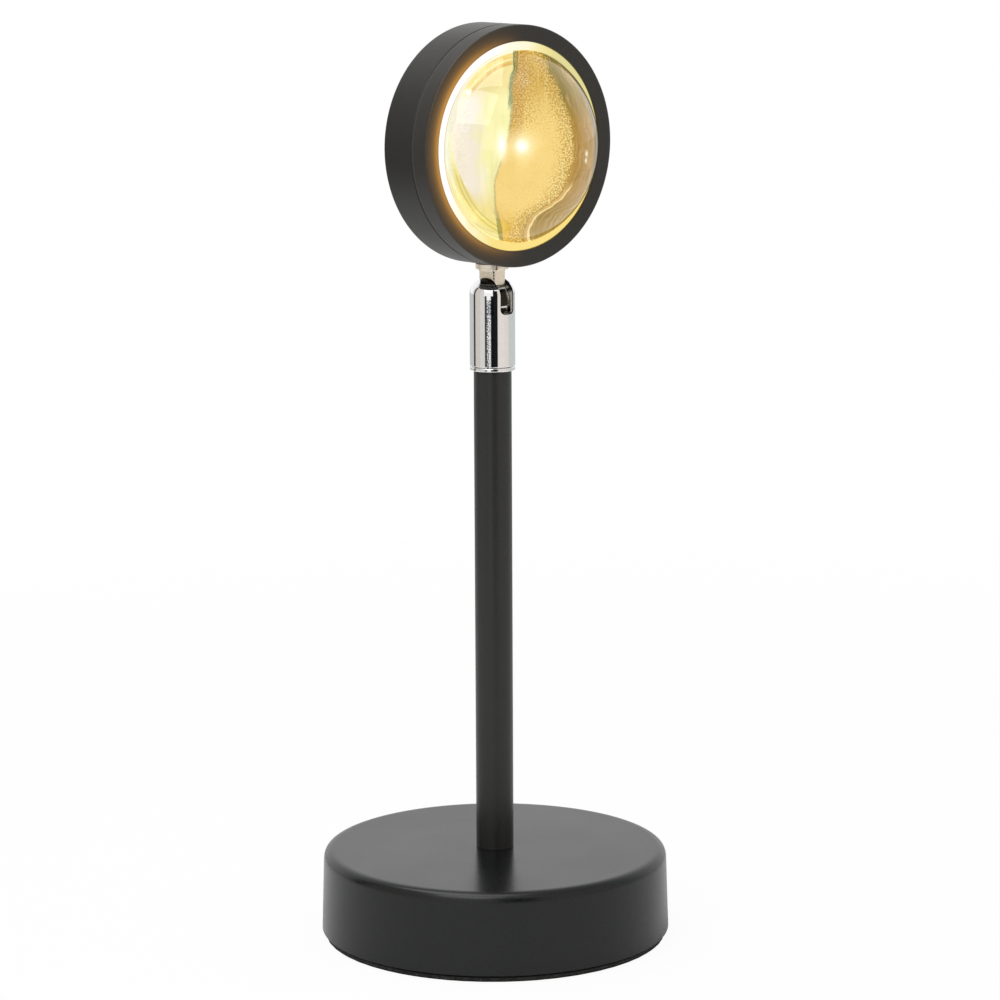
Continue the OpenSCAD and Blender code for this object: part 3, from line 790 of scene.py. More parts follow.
@dataclass(frozen=True)
class DomeGlass:
    """Lens glass with the magnified picture of the lit colour film that stands in its dome, painted on the
    glass as glow, with painted highlights, painted reflections and a painted shade line at its rim.

    The picture is drawn in millimetres across and up on a plane that faces 40 degrees to the
    lens's side: (p . right, p . up) / (1 - p . out / distance), with p from the head's centre.
    Each seam is a smooth line through (up, across) bends.
    """

    name: str
    centre_z: float
    front_y: float
    right: tuple[float, float, float] = (0.76929, -0.63890, 0.0)
    up: tuple[float, float, float] = (0.05490, 0.06610, 0.99630)
    out: tuple[float, float, float] = (-0.63654, -0.76644, 0.08593)
    distance: float = 1041.6
    rim_at: tuple[float, float] = (8.31, -0.82)
    rim_size: tuple[float, float] = (20.45, 26.72)
    span: float = 30.0
    shown: float = 0.80
    through: float = 0.03
    burst: float = 0.35
    clear: Colour = (1.0, 0.998, 0.985)
    first_seam: tuple[tuple[float, float], ...] = (
        (-30, 3.4), (-25.6, 2.7), (-21.2, 2.1), (-18.4, 1.3), (-14.5, 1.0), (-9.5, 1.3), (-6.2, 2.4),
        (-1.8, 3.5), (1.6, 4.6), (3.8, 5.2), (8.8, 5.7), (13.2, 6.0), (18.2, 6.3), (21.0, 7.1), (25.7, 7.1),
        (30, 7.0))
    second_seam: tuple[tuple[float, float], ...] = (
        (-30, 8.4), (-26.2, 8.5), (-22.0, 9.4), (-19.6, 11.2), (-17.6, 14.6), (-15.6, 17.4), (-12.3, 20.0),
        (-7.9, 21.6), (-3.4, 22.6), (1.0, 22.6), (5.5, 22.0), (9.9, 20.4), (14.3, 19.0), (18.2, 17.0),
        (21.5, 15.6), (25.0, 14.8), (30, 14.2))
    painted_light_spots: tuple[PaintedLightSpot, ...] = (
        # painted light: the bright spots seen through the film (first three), a painted highlight at the
        # upper left and two painted highlights by the right rim
        PaintedLightSpot((8.5, -0.7), (1.9, 1.9), 1.0, (1.0, 1.0, 0.94)),
        PaintedLightSpot((8.5, -0.7), (4.6, 4.4), 0.35, (1.0, 0.97, 0.62)),
        PaintedLightSpot((2.9, -0.4), (1.3, 3.6), 1.0, (1.0, 1.0, 0.84)),
        PaintedLightSpot((-6.3, 14.3), (0.8, 0.7), 0.95, (1.0, 1.0, 0.98)),
        PaintedLightSpot((26.5, -2.9), (0.35, 0.9), 0.8, (1.0, 0.92, 0.70)),
        PaintedLightSpot((26.3, -4.8), (0.3, 0.7), 0.8, (1.0, 0.92, 0.72)))

    def left_field(self, graph: Graph, u: Socket, v: Socket, edge: Socket) -> Socket:
        """Draws the pale field left of the first seam: cream, then yellow, gold at its ends. The cream by the
        left rim is a painted reflection of the white surroundings inside the dome, and two paler panes are
        painted reflections of a softbox.

        Args:
            graph: the material's tree.
            u: millimetres across the picture.
            v: millimetres up the picture.
            edge: 0 at the middle of the rim's oval and 1 on it.

        Returns:
            The field's colour.
        """
        streak = graph.noise(0.5, 3, graph.flat(u, graph.times(v, 0.07)))
        cloud = graph.noise(0.16, 3, graph.flat(u, v))
        across = graph.plus(u, graph.band(cloud, 0.3, 0.7, -1.6, 1.6))
        # cream by the left rim: painted reflection of the white surroundings inside the dome
        field = graph.mix(graph.band(across, -6.0, -0.6), (0.99, 0.93, 0.79), (0.99, 0.96, 0.50))
        # painted reflections: two pale panes of a softbox
        pane = graph.most(graph.times(graph.near(u, -8.0, -4.6, 0.6), graph.near(v, 6.5, 11.5, 1.8)),
                          graph.times(graph.near(u, -11.4, -6.4, 1.2), graph.near(v, 3.6, 5.2, 1.0)))
        streaks = graph.times(graph.band(streak, 0.5, 0.7), graph.band(u, -3, 0), 0.35)
        for share, colour in (
                (graph.times(pane, 0.5), (0.99, 0.95, 0.90)),
                (graph.times(graph.band(v, 11.5, 17.0), 0.8), (0.95, 0.79, 0.34)),
                (graph.times(graph.band(v, -11.0, -19.0), 0.85), (0.94, 0.78, 0.28)),
                (streaks, (0.80, 0.80, 0.30))):
            field = graph.paint(field, share, colour)
        field = self.low_crescent(graph, field, v, edge)
        field = self.high_crescent(graph, field, u, v, edge, streak)
        rim = graph.mix(graph.band(v, -16.0, -4.0), (0.95, 0.85, 0.40), (0.97, 0.99, 0.80))
        return graph.paint(field, graph.band(edge, 0.965, 0.985, 0.0, 0.85), rim)

    def low_crescent(self, graph: Graph, field: Socket, v: Socket, edge: Socket) -> Socket:
        """Draws the yellow crescent along the rim's lower left, with two thin lines in it.

        Args:
            graph: the material's tree.
            field: what lies under it.
            v: millimetres up the picture.
            edge: 0 at the middle of the rim's oval and 1 on it.

        Returns:
            The colour with the crescent.
        """
        starts = graph.band(v, -17.0, 4.0, 0.84, 0.95)
        share = graph.times(graph.band(graph.minus(edge, starts), 0.0, 0.02), graph.band(v, 8.0, 1.0))
        colour = graph.mix(graph.band(v, -11.0, 0.0), (0.92, 0.81, 0.30), (0.95, 0.97, 0.62))
        field = graph.paint(field, share, colour)
        for first, last in ((0.885, 0.893), (0.930, 0.940)):
            line = graph.times(share, graph.near(edge, first, last, 0.010), graph.band(v, -4.0, -11.0), 0.75)
            field = graph.paint(field, line, (0.68, 0.56, 0.10))
        return field

    def high_crescent(
        self, graph: Graph, field: Socket, u: Socket, v: Socket, edge: Socket, streak: Socket
    ) -> Socket:
        """Draws the brown and gold crescent along the top of the rim, left of the first seam.

        Args:
            graph: the material's tree.
            field: what lies under it.
            u: millimetres across the picture.
            v: millimetres up the picture.
            edge: 0 at the middle of the rim's oval and 1 on it.
            streak: a noise drawn out upwards.

        Returns:
            The colour with the crescent.
        """
        share = graph.times(graph.near(edge, 0.865, 0.962, 0.014), graph.band(v, 12.5, 15.5),
                            graph.band(u, 6.5, 5.5))
        gold = graph.mix(graph.band(edge, 0.865, 0.93), (0.66, 0.40, 0.07), (0.90, 0.66, 0.17))
        gold = graph.paint(gold, graph.times(graph.near(edge, 0.905, 0.918, 0.008), 0.8), (0.98, 0.88, 0.46))
        gold = graph.paint(gold, graph.times(graph.band(streak, 0.45, 0.6), 0.4), (0.97, 0.84, 0.38))
        return graph.paint(field, graph.times(share, 0.9), gold)

    def middle_field(self, graph: Graph, u: Socket, v: Socket, first: Socket, second: Socket) -> Socket:
        """Draws the amber field between the seams, with grains that thicken to the right.

        Args:
            graph: the material's tree.
            u: millimetres across the picture.
            v: millimetres up the picture.
            first: millimetres right of the first seam.
            second: millimetres right of the second seam.

        Returns:
            The field's colour.
        """
        flat = graph.flat(u, v)
        grain, cloud = graph.noise(2.1, 3, flat, 0.6), graph.noise(0.22, 3, flat)
        streak = graph.noise(0.8, 3, graph.flat(u, graph.times(v, 0.06)))
        field = graph.mix(graph.band(v, 5.0, 21.0), (0.94, 0.69, 0.23), (0.66, 0.41, 0.06))
        streaks = graph.times(graph.band(streak, 0.46, 0.62), graph.band(second, -9, -3), 0.35)
        warm = graph.times(graph.near(first, 0.0, 2.4, 1.6), graph.band(v, -3.0, 6.0), 0.75)
        thick = graph.most(graph.band(second, -8.0, -0.5),
                           graph.times(graph.band(first, 9.0, 0.5, 0.45, 1.0), graph.band(v, -1.0, 7.0), 0.9))
        dark = graph.band(graph.plus(grain, graph.times(thick, 0.11)), 0.57, 0.64)
        pale = graph.band(grain, 0.44, 0.36)
        for share, colour in (
                (graph.band(v, -16.0, -25.0), (0.84, 0.53, 0.08)),
                (streaks, (0.97, 0.80, 0.34)),
                (graph.band(cloud, 0.5, 0.66, 0.0, 0.5), (0.90, 0.62, 0.18)),
                (warm, (0.74, 0.44, 0.12)),
                (graph.times(dark, graph.band(thick, 0.0, 1.0, 0.18, 0.75)), (0.38, 0.22, 0.03)),
                (graph.times(pale, graph.band(thick, 0.0, 1.0, 0.15, 0.5)), (0.95, 0.78, 0.36))):
            field = graph.paint(field, share, colour)
        return field

    def right_field(self, graph: Graph, u: Socket, v: Socket, second: Socket) -> Socket:
        """Draws the smoky field right of the second seam, streaked along the rim.

        Args:
            graph: the material's tree.
            u: millimetres across the picture.
            v: millimetres up the picture.
            second: millimetres right of the second seam.

        Returns:
            The field's colour.
        """
        streak = graph.noise(1.3, 3, graph.flat(second, graph.times(v, 0.10)))
        grain = graph.noise(1.8, 3, graph.flat(u, v))
        inner = graph.mix(graph.band(v, 3.0, 15.0), (0.45, 0.25, 0.015), (0.24, 0.18, 0.01))
        outer = graph.mix(graph.band(v, 3.0, 15.0), (0.46, 0.28, 0.08), (0.36, 0.27, 0.07))
        field = graph.mix(graph.band(second, 0.6, 4.6), inner, outer)
        low = graph.band(v, -10.0, -13.5)
        foot = graph.times(graph.near(second, -0.2, 0.5, 0.3), graph.band(v, -17.0, -19.5), 0.8)
        for share, colour in (
                (graph.band(v, -13.0, -20.0), (0.40, 0.26, 0.04)),
                (graph.band(streak, 0.52, 0.66, 0.0, 0.6), (0.62, 0.40, 0.16)),
                (graph.band(streak, 0.46, 0.34, 0.0, 0.55), (0.26, 0.15, 0.02)),
                (graph.band(grain, 0.55, 0.68, 0.0, 0.35), (0.22, 0.12, 0.02)),
                (foot, (0.30, 0.40, 0.14)),
                (graph.times(low, graph.near(second, 0.1, 0.45, 0.2), 0.8), (0.45, 0.25, 0.07)),
                (graph.times(low, graph.near(second, 1.5, 1.95, 0.25)), (0.97, 0.80, 0.36)),
                (graph.times(low, graph.near(second, 0.6, 1.3, 0.2), 0.7), (0.84, 0.52, 0.15))):
            field = graph.paint(field, share, colour)
        return field

    def seam_line(self, graph: Graph, colour: Socket, v: Socket, first: Socket, fine: Socket) -> Socket:
        """Draws the first seam's own line: olive at its ends, grey-green above, else thin brown.

        Args:
            graph: the material's tree.
            colour: what lies under the line.
            v: millimetres up the picture.
            first: millimetres right of the seam.
            fine: a fine noise.

        Returns:
            The colour with the line.
        """
        grey = graph.mix(graph.band(fine, 0.4, 0.62), (0.36, 0.46, 0.26), (0.20, 0.24, 0.10))
        wide = graph.times(graph.near(first, -0.9, -0.2, 0.5), graph.near(v, 11.5, 19.0, 3.0), 0.85)
        ends = graph.most(graph.band(v, 18.0, 21.0), graph.times(graph.band(v, -17.0, -22.0), 0.75))
        ends = graph.times(graph.near(first, -0.8, 0.15, 0.3), graph.band(fine, 0.30, 0.55, 0.5, 1.0), ends)
        thin = graph.times(graph.near(first, -0.35, 0.0, 0.2), graph.band(fine, 0.35, 0.6, 0.4, 1.0))
        gap = graph.minus(1.0, graph.times(graph.near(v, -4.0, 2.5, 1.5), 0.7))
        colour = graph.paint(colour, wide, grey)
        colour = graph.paint(colour, ends, (0.15, 0.18, 0.02))
        return graph.paint(colour, graph.times(thin, gap, 0.75), (0.46, 0.33, 0.12))

    def picture(self, graph: Graph) -> tuple[Socket, Socket]:
        """Draws the whole picture.

        Args:
            graph: the material's tree.

        Returns:
            The picture's colour and how strongly it glows.
        """
        place = graph.centred((0, 0, self.centre_z))
        depth = graph.minus(1.0, graph.over(graph.dot(place, self.out), self.distance))
        u, v = (graph.over(graph.dot(place, way), depth) for way in (self.right, self.up))
        flat = graph.flat(u, v)
        edge = graph.hypot(*(graph.over(graph.minus(value, middle), half)
                             for value, middle, half in zip((u, v), self.rim_at, self.rim_size)))
        fine, wave = graph.noise(2.2, 2, flat), graph.noise(0.35, 2, flat)
        first = graph.minus(u, graph.curve(v, self.first_seam, self.span))
        first = graph.plus(first, graph.band(wave, 0.3, 0.7, -0.12, 0.12))
        second = graph.minus(u, graph.curve(v, self.second_seam, self.span))
        second = graph.plus(second, graph.band(wave, 0.3, 0.7, -0.3, 0.3))
        ragged = graph.plus(second, graph.band(fine, 0.3, 0.7, -0.8, 0.8))
        colour = graph.mix(graph.band(first, -0.16, 0.16), self.left_field(graph, u, v, edge),
                           self.middle_field(graph, u, v, first, second))
        colour = graph.paint(colour, graph.band(ragged, -0.25, 0.25), self.right_field(graph, u, v, second))
        colour = self.seam_line(graph, colour, v, first, fine)
        hot = 0.0
        # painted light spots brighten the picture's colour and glow
        for spot in self.painted_light_spots:
            light = graph.times(graph.spot(u, v, spot.at, spot.size), spot.level)
            colour, hot = graph.paint(colour, light, spot.tint), graph.most(hot, light)
        sparks = graph.times(graph.band(graph.noise(3.0, 1, flat), 0.60, 0.64),
                             graph.spot(u, v, (9.0, 18.2), (2.6, 3.0)))
        # painted shade: a dark line along the upper right rim, where the dome meets the ring
        dark = graph.times(graph.band(edge, 0.985, 1.012), graph.band(u, 12.0, 15.0), 0.85)
        colour = graph.paint(colour, sparks, (1.0, 0.99, 0.92))
        colour = graph.paint(colour, dark, (0.10, 0.085, 0.045))
        return colour, graph.plus(self.shown, graph.times(hot, self.burst))

    def build(self) -> bpy.types.Material:
        """Returns the material."""
        graph = Graph(self.name)
        rough = graph.band(graph.noise(2400, 3), 0.68, 0.8, 0.0, 0.05)
        y = graph.split(graph.centred((0, 0, 0)))[1]
        front = graph.band(y, self.front_y + 1.7, self.front_y + 1.3)
        picture, level = self.picture(graph)
        tint = graph.mix(front, self.clear, graph.mix(self.through, (0.0, 0.0, 0.0), picture))
        return graph.dress(Base_Color=tint, Roughness=rough, Transmission_Weight=1.0, IOR=1.5,
                           Emission_Color=picture, Emission_Strength=graph.times(front, level))


@dataclass(frozen=True)
class ColourFilm:
    """Backlit colour film: a yellow, an amber and a smoky field between wavy seams."""

    name: str
    centre_z: float
    span: float = 27.0
    first_seam: tuple[tuple[float, float], ...] = (
        (-27, 3.0), (-18, 1.4), (-12.2, -2.7), (-7.7, -3.0), (-2.6, -2.2), (1.3, -0.3), (7.0, 1.1),
        (12.1, 1.2), (16.2, 3.5), (27, 2.0))
    second_seam: tuple[tuple[float, float], ...] = (
        (-27, 4.5), (-17.6, 3.4), (-14.9, 4.4), (-12.6, 8.1), (-9.6, 11.3), (-4.7, 13.1), (-0.2, 13.3),
        (4.8, 13.2), (9.4, 12.0), (13.2, 10.8), (17.9, 10.3), (27, 9.0))

    def build(self) -> bpy.types.Material:
        """Returns the material."""
        graph = Graph(self.name)
        x, _, z = graph.split(graph.centred((0, 0, self.centre_z)))
        across = graph.plus(x, graph.band(graph.noise(260, 3), 0.25, 0.75, -0.45, 0.45))
        first, second = (graph.minus(across, graph.curve(z, seam, self.span))
                         for seam in (self.first_seam, self.second_seam))
        grain, fine = graph.noise(2600, 3, rough=0.7), graph.noise(5200, 2)
        blotch = graph.noise(330, 3)
        yellow = graph.mix(graph.band(first, -6.0, -0.5), (1.0, 0.90, 0.52), (1.0, 0.96, 0.44))
        yellow = graph.paint(yellow, graph.band(graph.math("ABSOLUTE", z), 6, 20), (0.98, 0.84, 0.36))
        amber = graph.mix(graph.band(z, -2, 14), (1.0, 0.76, 0.25), (0.86, 0.57, 0.15))
        amber = graph.paint(amber, graph.band(z, -12, -20), (0.92, 0.60, 0.14))
        amber = graph.paint(amber, graph.band(blotch, 0.45, 0.65, 0.0, 0.5), (0.86, 0.60, 0.17))
        amber = graph.paint(amber, graph.band(grain, 0.45, 0.65, 0.0, 0.6), (1.0, 0.84, 0.38))
        smoke = graph.mix(graph.band(second, 0.0, 6.0), (0.56, 0.33, 0.11), (0.60, 0.44, 0.24))
        smoke = graph.paint(smoke, graph.band(fine, 0.4, 0.7, 0.0, 0.5), (0.70, 0.52, 0.26))
        colour = graph.mix(graph.band(first, -0.15, 0.15), yellow, amber)
        colour = graph.paint(colour, graph.band(second, -0.3, 0.3), smoke)
        edge = graph.times(graph.band(first, -0.9, -0.25), graph.band(first, 0.2, 0.0), 0.85)
        olive = graph.mix(graph.band(z, 0.5, 4.5), (0.55, 0.33, 0.08), (0.20, 0.27, 0.09))
        rim = graph.times(graph.band(second, -0.7, -0.1), graph.band(second, 0.35, 0.1), 0.7)
        left_spot = graph.times(graph.spot(x, z, (-1.6, 0.0), (1.5, 1.5)), 0.7)
        light = graph.most(graph.spot(x, z, (2.7, -0.2), (1.9, 1.9)), left_spot)
        for share, over in ((edge, olive), (rim, (1.0, 0.84, 0.40)), (light, (1.0, 1.0, 0.80))):
            colour = graph.paint(colour, share, over)
        rough = graph.band(grain, 0.3, 0.7, 0.25, 0.4)
        return graph.dress(Base_Color=graph.mix(0.94, colour, (0.01, 0.01, 0.01)), Roughness=rough,
                           Specular_IOR_Level=0.2, Emission_Color=colour, Emission_Strength=1.0)


# ---------------------------------------------------------------- sub-assemblies


def span_of(node: str) -> tuple[np.ndarray, np.ndarray]:
    """Returns a CAD node's lowest and highest corners in millimetres."""
    low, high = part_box(node)
    return np.array(low) / MM, np.array(high) / MM


@dataclass
class Base:
    """Weighted base: the stamped shell and its foam foot pad."""

    wall: float = 1.2
    lean: float = 0.75
    top_round: float = 3.0
    bore: float = 4.5
    pad_wave: float = 0.12
    pad_columns: int = 480
    pad_seed: int = 7
    coat: PowderCoat = PowderCoat(
        "base_coat", (0.004, 0.0045, 0.005), (0.010, 0.011, 0.012), 0.25, 0.006, 0.37)
    foam: Foam = Foam("foot_foam")

    def build(self) -> None:
        """Makes both pieces."""
        low, high = span_of("base_shell")
        pad_low, pad_high = span_of("foot_pad")
        rim, top = high[0], high[2]
        inner = rim - self.wall
        shell = rounded([
            (rim, low[2], 0.25), (rim - self.lean, top, self.top_round), (self.bore, top, 0.1),
            (self.bore, top - self.wall, 0.1),
            (inner - self.lean, top - self.wall, self.top_round - self.wall),
            (inner, low[2], 0.25)], steps=12)
        make_piece("base_shell_coated", revolve(shell, 360), self.coat.build(), "base",
                   ["base_shell"])
        self.pad(pad_high[0], pad_low[2], pad_high[2])

    def pad(self, radius: float, low: float, high: float) -> None:
        """Makes the foam disc. Its edge bellies out and waves a little, as cut foam does.

        Args:
            radius: the disc's radius.
            low: its underside's height.
            high: its top's height.
        """
        columns = self.pad_columns
        angle = np.arange(columns) * (2 * np.pi / columns)
        line = rounded([(0, low, 0), (radius, low, 0.5), (radius, high, 0.35), (0, high, 0)], closed=False)
        rng = np.random.default_rng(self.pad_seed)
        waves = sum(rng.normal(0, 1 / k**0.6) * np.sin(k * angle + rng.uniform(0, 6.28))
                    for k in range(9, 90, 4))
        share = smoothstep((line[:, 0] - 0.9 * radius) / (0.1 * radius))[:, None]
        reach = line[:, :1] - share * self.pad_wave * (1 + waves / np.abs(waves).max()) / 2
        height = np.repeat(line[:, 1:], columns, 1)
        grid = np.stack([reach * np.cos(angle), reach * np.sin(angle), height], -1)
        pad = make_piece("foot_pad_foam", closed_grid(grid, False), self.foam.build(), "base",
                         ["foot_pad"])


@dataclass
class Pole:
    """Slim tube between the base and the knuckle, with its bright end ring."""

    wall: float = 0.9
    plug_r: float = 5.25
    plug_bore: float = 2.2
    coat: PowderCoat = PowderCoat("pole_coat", (0.017, 0.017, 0.0155), (0.030, 0.030, 0.027), 0.34)
    chrome: BrightMetal = BrightMetal("ring_chrome", (0.88, 0.88, 0.87), (0.84, 0.84, 0.84))

    def build(self) -> None:
        """Makes the tube and the ring."""
        low, high = span_of("pole_tube")
        outer, inner = high[0], high[0] - self.wall
        tube = rounded([(outer, low[2], 0.12), (outer, high[2], 0.12), (inner, high[2], 0.1),
                        (inner, low[2], 0.1)])
        make_piece("pole_coated", revolve(tube, 192), self.coat.build(), "base", ["pole_tube"])
        plug_low, plug_high = span_of("knuckle_plug")
        sleeve_low, _ = span_of("knuckle_sleeve")
        ring_low, ring_top = high[2], sleeve_low[2] - 0.15
        ring_r, plug_r, thread_r, bore = plug_high[0], self.plug_r, inner - 0.05, self.plug_bore
        ring = rounded([
            (bore, plug_low[2], 0.1), (thread_r, plug_low[2], 0.3), (thread_r, ring_low, 0.05),
            (ring_r, ring_low, 0.34), (ring_r, ring_top, 0.34), (plug_r, ring_top, 0.05),
            (plug_r, plug_high[2], 0.3), (bore, plug_high[2], 0.1)], steps=9)
        make_piece("knuckle_ring", revolve(ring, 192), self.chrome.build(), "base",
                   ["knuckle_plug"])


@dataclass
class Knuckle:
    """Chrome sleeve with its domed, slotted top."""

    radius: float = 6.4
    dome_r: float = 7.0
    pocket_r: float = 5.3
    slot_half: float = 2.5
    slot_deep: float = 3.45
    slot_corner: float = 1.4
    slot_turn: float = 5.0
    slot_edge: float = 0.16
    lower_round: float = 0.3
    even_run: float = 1.4
    even_rows: int = 17
    chrome: SleeveChrome = SleeveChrome(
        "sleeve_chrome", (0.90, 0.89, 0.88), (0.86, 0.86, 0.86), 0.035, 0.03)

    def outer_line(self, low: float, ball_z: float) -> Loop:
        """Outer generator: lip, straight skirt, soft shoulder and dome.

        Args:
            low: the sleeve's lowest height.
            ball_z: height of the ball's centre.

        Returns:
            (radius, height) points from the lip up to the crown.
        """
        shoulder = ball_z + math.sqrt(self.dome_r**2 - self.radius**2)
        start = math.acos(self.radius / self.dome_r)
        turn = np.linspace(start + 0.16, math.radians(75), 70)
        dome = np.stack([self.dome_r * np.cos(turn), ball_z + self.dome_r * np.sin(turn)], 1)
        lip = rounded([(self.pocket_r + 0.15, low, 0), (self.radius, low, self.lower_round),
                       (self.radius, ball_z, 0)], closed=False, steps=9)[:-1]
        skirt = np.stack([np.full(60, self.radius), np.linspace(lip[-1, 1] + 0.3, shoulder - 1.1, 60)], 1)
        t = np.linspace(0, 1, 22)[1:-1, None]
        soft = (1 - t) ** 2 * skirt[-1] + 2 * t * (1 - t) * np.array([self.radius, shoulder]) + t**2 * dome[0]
        return np.concatenate([lip, skirt, soft, dome])

    def inner_line(self, low: float, ball_z: float) -> Loop:
        """Inner generator: straight bore and the round pocket over the ball."""
        turn = np.linspace(0, math.radians(75), 50)
        pocket = np.stack([self.pocket_r * np.cos(turn), ball_z + self.pocket_r * np.sin(turn)], 1)
        bore = np.stack([np.full(30, self.pocket_r), np.linspace(low + 0.15, ball_z, 31)[:-1]], 1)
        return np.concatenate([bore, pocket])

    def edge_on(
        self, line: Loop, ball_z: float, widen: float, share: np.ndarray
    ) -> tuple[np.ndarray, np.ndarray]:
        """Where half of the slot's edge runs on a surface of revolution.

        With half width w, depth d and corner c the four runs are: along the flat bottom and
        round its corner, x = w - c + c sin f and z = ball - d + c (1 - cos f); up the side,
        r sin a = w; over the ear, r = w / sin a; and along the back, r = d / |cos a|.

        Args:
            line: the surface's generator.
            ball_z: height of the ball's centre.
            widen: how much wider than the slot the edge is drawn.
            share: 0..4 along the half edge, one unit for each of the four runs.

        Returns:
            The edge's angle from the slot and its length up the generator.
        """
        half, deep, corner = (size + widen for size in (self.slot_half, self.slot_deep, self.slot_corner))
        length = np.concatenate([[0], np.cumsum(np.linalg.norm(np.diff(line, axis=0), axis=1))])
        above = line[:, 1] >= ball_z
        ear, back = math.radians(45), math.pi - math.atan(self.slot_half / self.slot_deep)

        def up(radius: np.ndarray) -> np.ndarray:
            """Length up the generator at which the dome has this radius."""
            return np.interp(-radius, -line[above, 0], length[above])

        flat = half - corner
        way = np.clip(share, 0, 1) * (flat + corner * math.pi / 2)
        bend = np.clip(way - flat, 0, None) / corner
        across = np.minimum(way, flat) + corner * np.sin(bend)
        low_run = np.interp(ball_z - deep + corner * (1 - np.cos(bend)), line[:, 1], length)
        low_angle = np.arcsin(across / np.interp(low_run, length, line[:, 0]))
        side_foot = np.interp(ball_z - deep + corner, line[:, 1], length)
        side_run = side_foot + np.clip(share - 1, 0, 1) * (up(half / math.sin(ear)) - side_foot)
        side_angle = np.arcsin(half / np.interp(side_run, length, line[:, 0]))
        ear_angle = ear + np.clip(share - 2, 0, 1) * (back - ear)
        back_angle = back + np.clip(share - 3, 0, 1) * (math.pi - back)
        stage = [share <= 1, share <= 2, share <= 3]
        angle = np.select(stage, [low_angle, side_angle, ear_angle], back_angle)
        run = np.select(stage, [low_run, side_run, up(half / np.sin(ear_angle))],
                        up(deep / np.abs(np.cos(back_angle))))
        return angle, run

    def sheet(
        self, line: Loop, foot: np.ndarray, angle: np.ndarray, run: np.ndarray, rows: int
    ) -> np.ndarray:
        """Grid on the surface from its foot to the slot's edge.

        The first rows go round the foot at even lengths. Above them the length is
        s = s0 + v (edge - s0) and the angle is foot + v^4 (edge - foot), with v from 0 to 1, so
        that every column comes to the slot from outside.

        Args:
            line: the surface's generator.
            foot: each column's angle at the foot.
            angle: each column's angle at the edge.
            run: each column's length up the generator at the edge.
            rows: number of rows above the foot.

        Returns:
            Points, rows x columns x 3, on the sleeve's own axis.
        """
        length = np.concatenate([[0], np.cumsum(np.linalg.norm(np.diff(line, axis=0), axis=1))])
        start, first = self.even_run, self.even_rows
        v = np.linspace(0, 1, rows)[:, None]
        even = np.linspace(0, start, first + 1)[:-1, None] + 0 * run
        s = np.concatenate([even, start + v * (run - start)])
        turn = np.concatenate([np.zeros((first, 1)), v**4]) * (angle - foot) + foot
        r, z = np.interp(s, length, line[:, 0]), np.interp(s, length, line[:, 1])
        return np.stack([r * np.sin(turn), -r * np.cos(turn), z], -1)

    def sleeve(self) -> Surface:
        """The sleeve's whole skin: outside, rounded slot edge, wall and inside, as one ring."""
        low, _ = span_of("knuckle_sleeve")
        ball_z = self.ball_height()
        counts = (34, 62, 54, 26)
        half = np.concatenate([[0]] + [np.linspace(k, k + 1, n + 1)[1:] for k, n in enumerate(counts)])
        share = np.concatenate([half, half[-2:0:-1]])
        side = np.concatenate([np.ones(len(half)), -np.ones(len(half) - 2)])
        outer, inner = self.outer_line(low[2], ball_z), self.inner_line(low[2], ball_z)
        even = np.linspace(0, math.pi, len(half))
        foot = side * np.concatenate([even, even[-2:0:-1]])
        wide, run = self.edge_on(outer, ball_z, self.slot_edge, share)
        out = self.sheet(outer, foot, side * wide, run, 90)
        lead_angle, lead_run = self.edge_on(outer, ball_z, 0.0, share)
        lead = self.sheet(outer, foot, side * lead_angle, lead_run, 20)[-1]
        in_angle, in_run = self.edge_on(inner, ball_z, 0.0, share)
        inside = self.sheet(inner, foot, side * in_angle, in_run, 60)[::-1]
        wall_t = np.linalg.norm(inside[0] - lead, axis=1)[:, None]
        sink = lead + (inside[0] - lead) * (self.slot_edge / wall_t)
        t = np.linspace(0, 1, 7)[1:, None, None]
        edge = (1 - t) ** 2 * out[-1] + 2 * t * (1 - t) * lead + t**2 * sink
        wall = sink + (inside[0] - sink) * np.linspace(0, 1, 6)[1:-1, None, None]
        return closed_grid(np.concatenate([out, edge, wall, inside])).moved(self.turned)

    def turned(self, points: np.ndarray) -> np.ndarray:
        """Turns points about Z so that the slot faces its resting direction."""
        a = math.radians(self.slot_turn)
        x, y, z = points.T
        return np.stack([x * math.cos(a) - y * math.sin(a), x * math.sin(a) + y * math.cos(a), z], 1)

    @staticmethod
    def ball_height() -> float:
        """Returns the height of the tilt joint, the ball's centre."""
        joint = next(j for j in frame["joints"] if j["name"] == "head_tilt")
        return joint["pos_m"][2] / MM

    def build(self) -> None:
        """Makes the sleeve."""
        make_piece("sleeve_chromed", self.sleeve(), self.chrome.build(), "knuckle",
                   ["knuckle_sleeve"], crease=60)


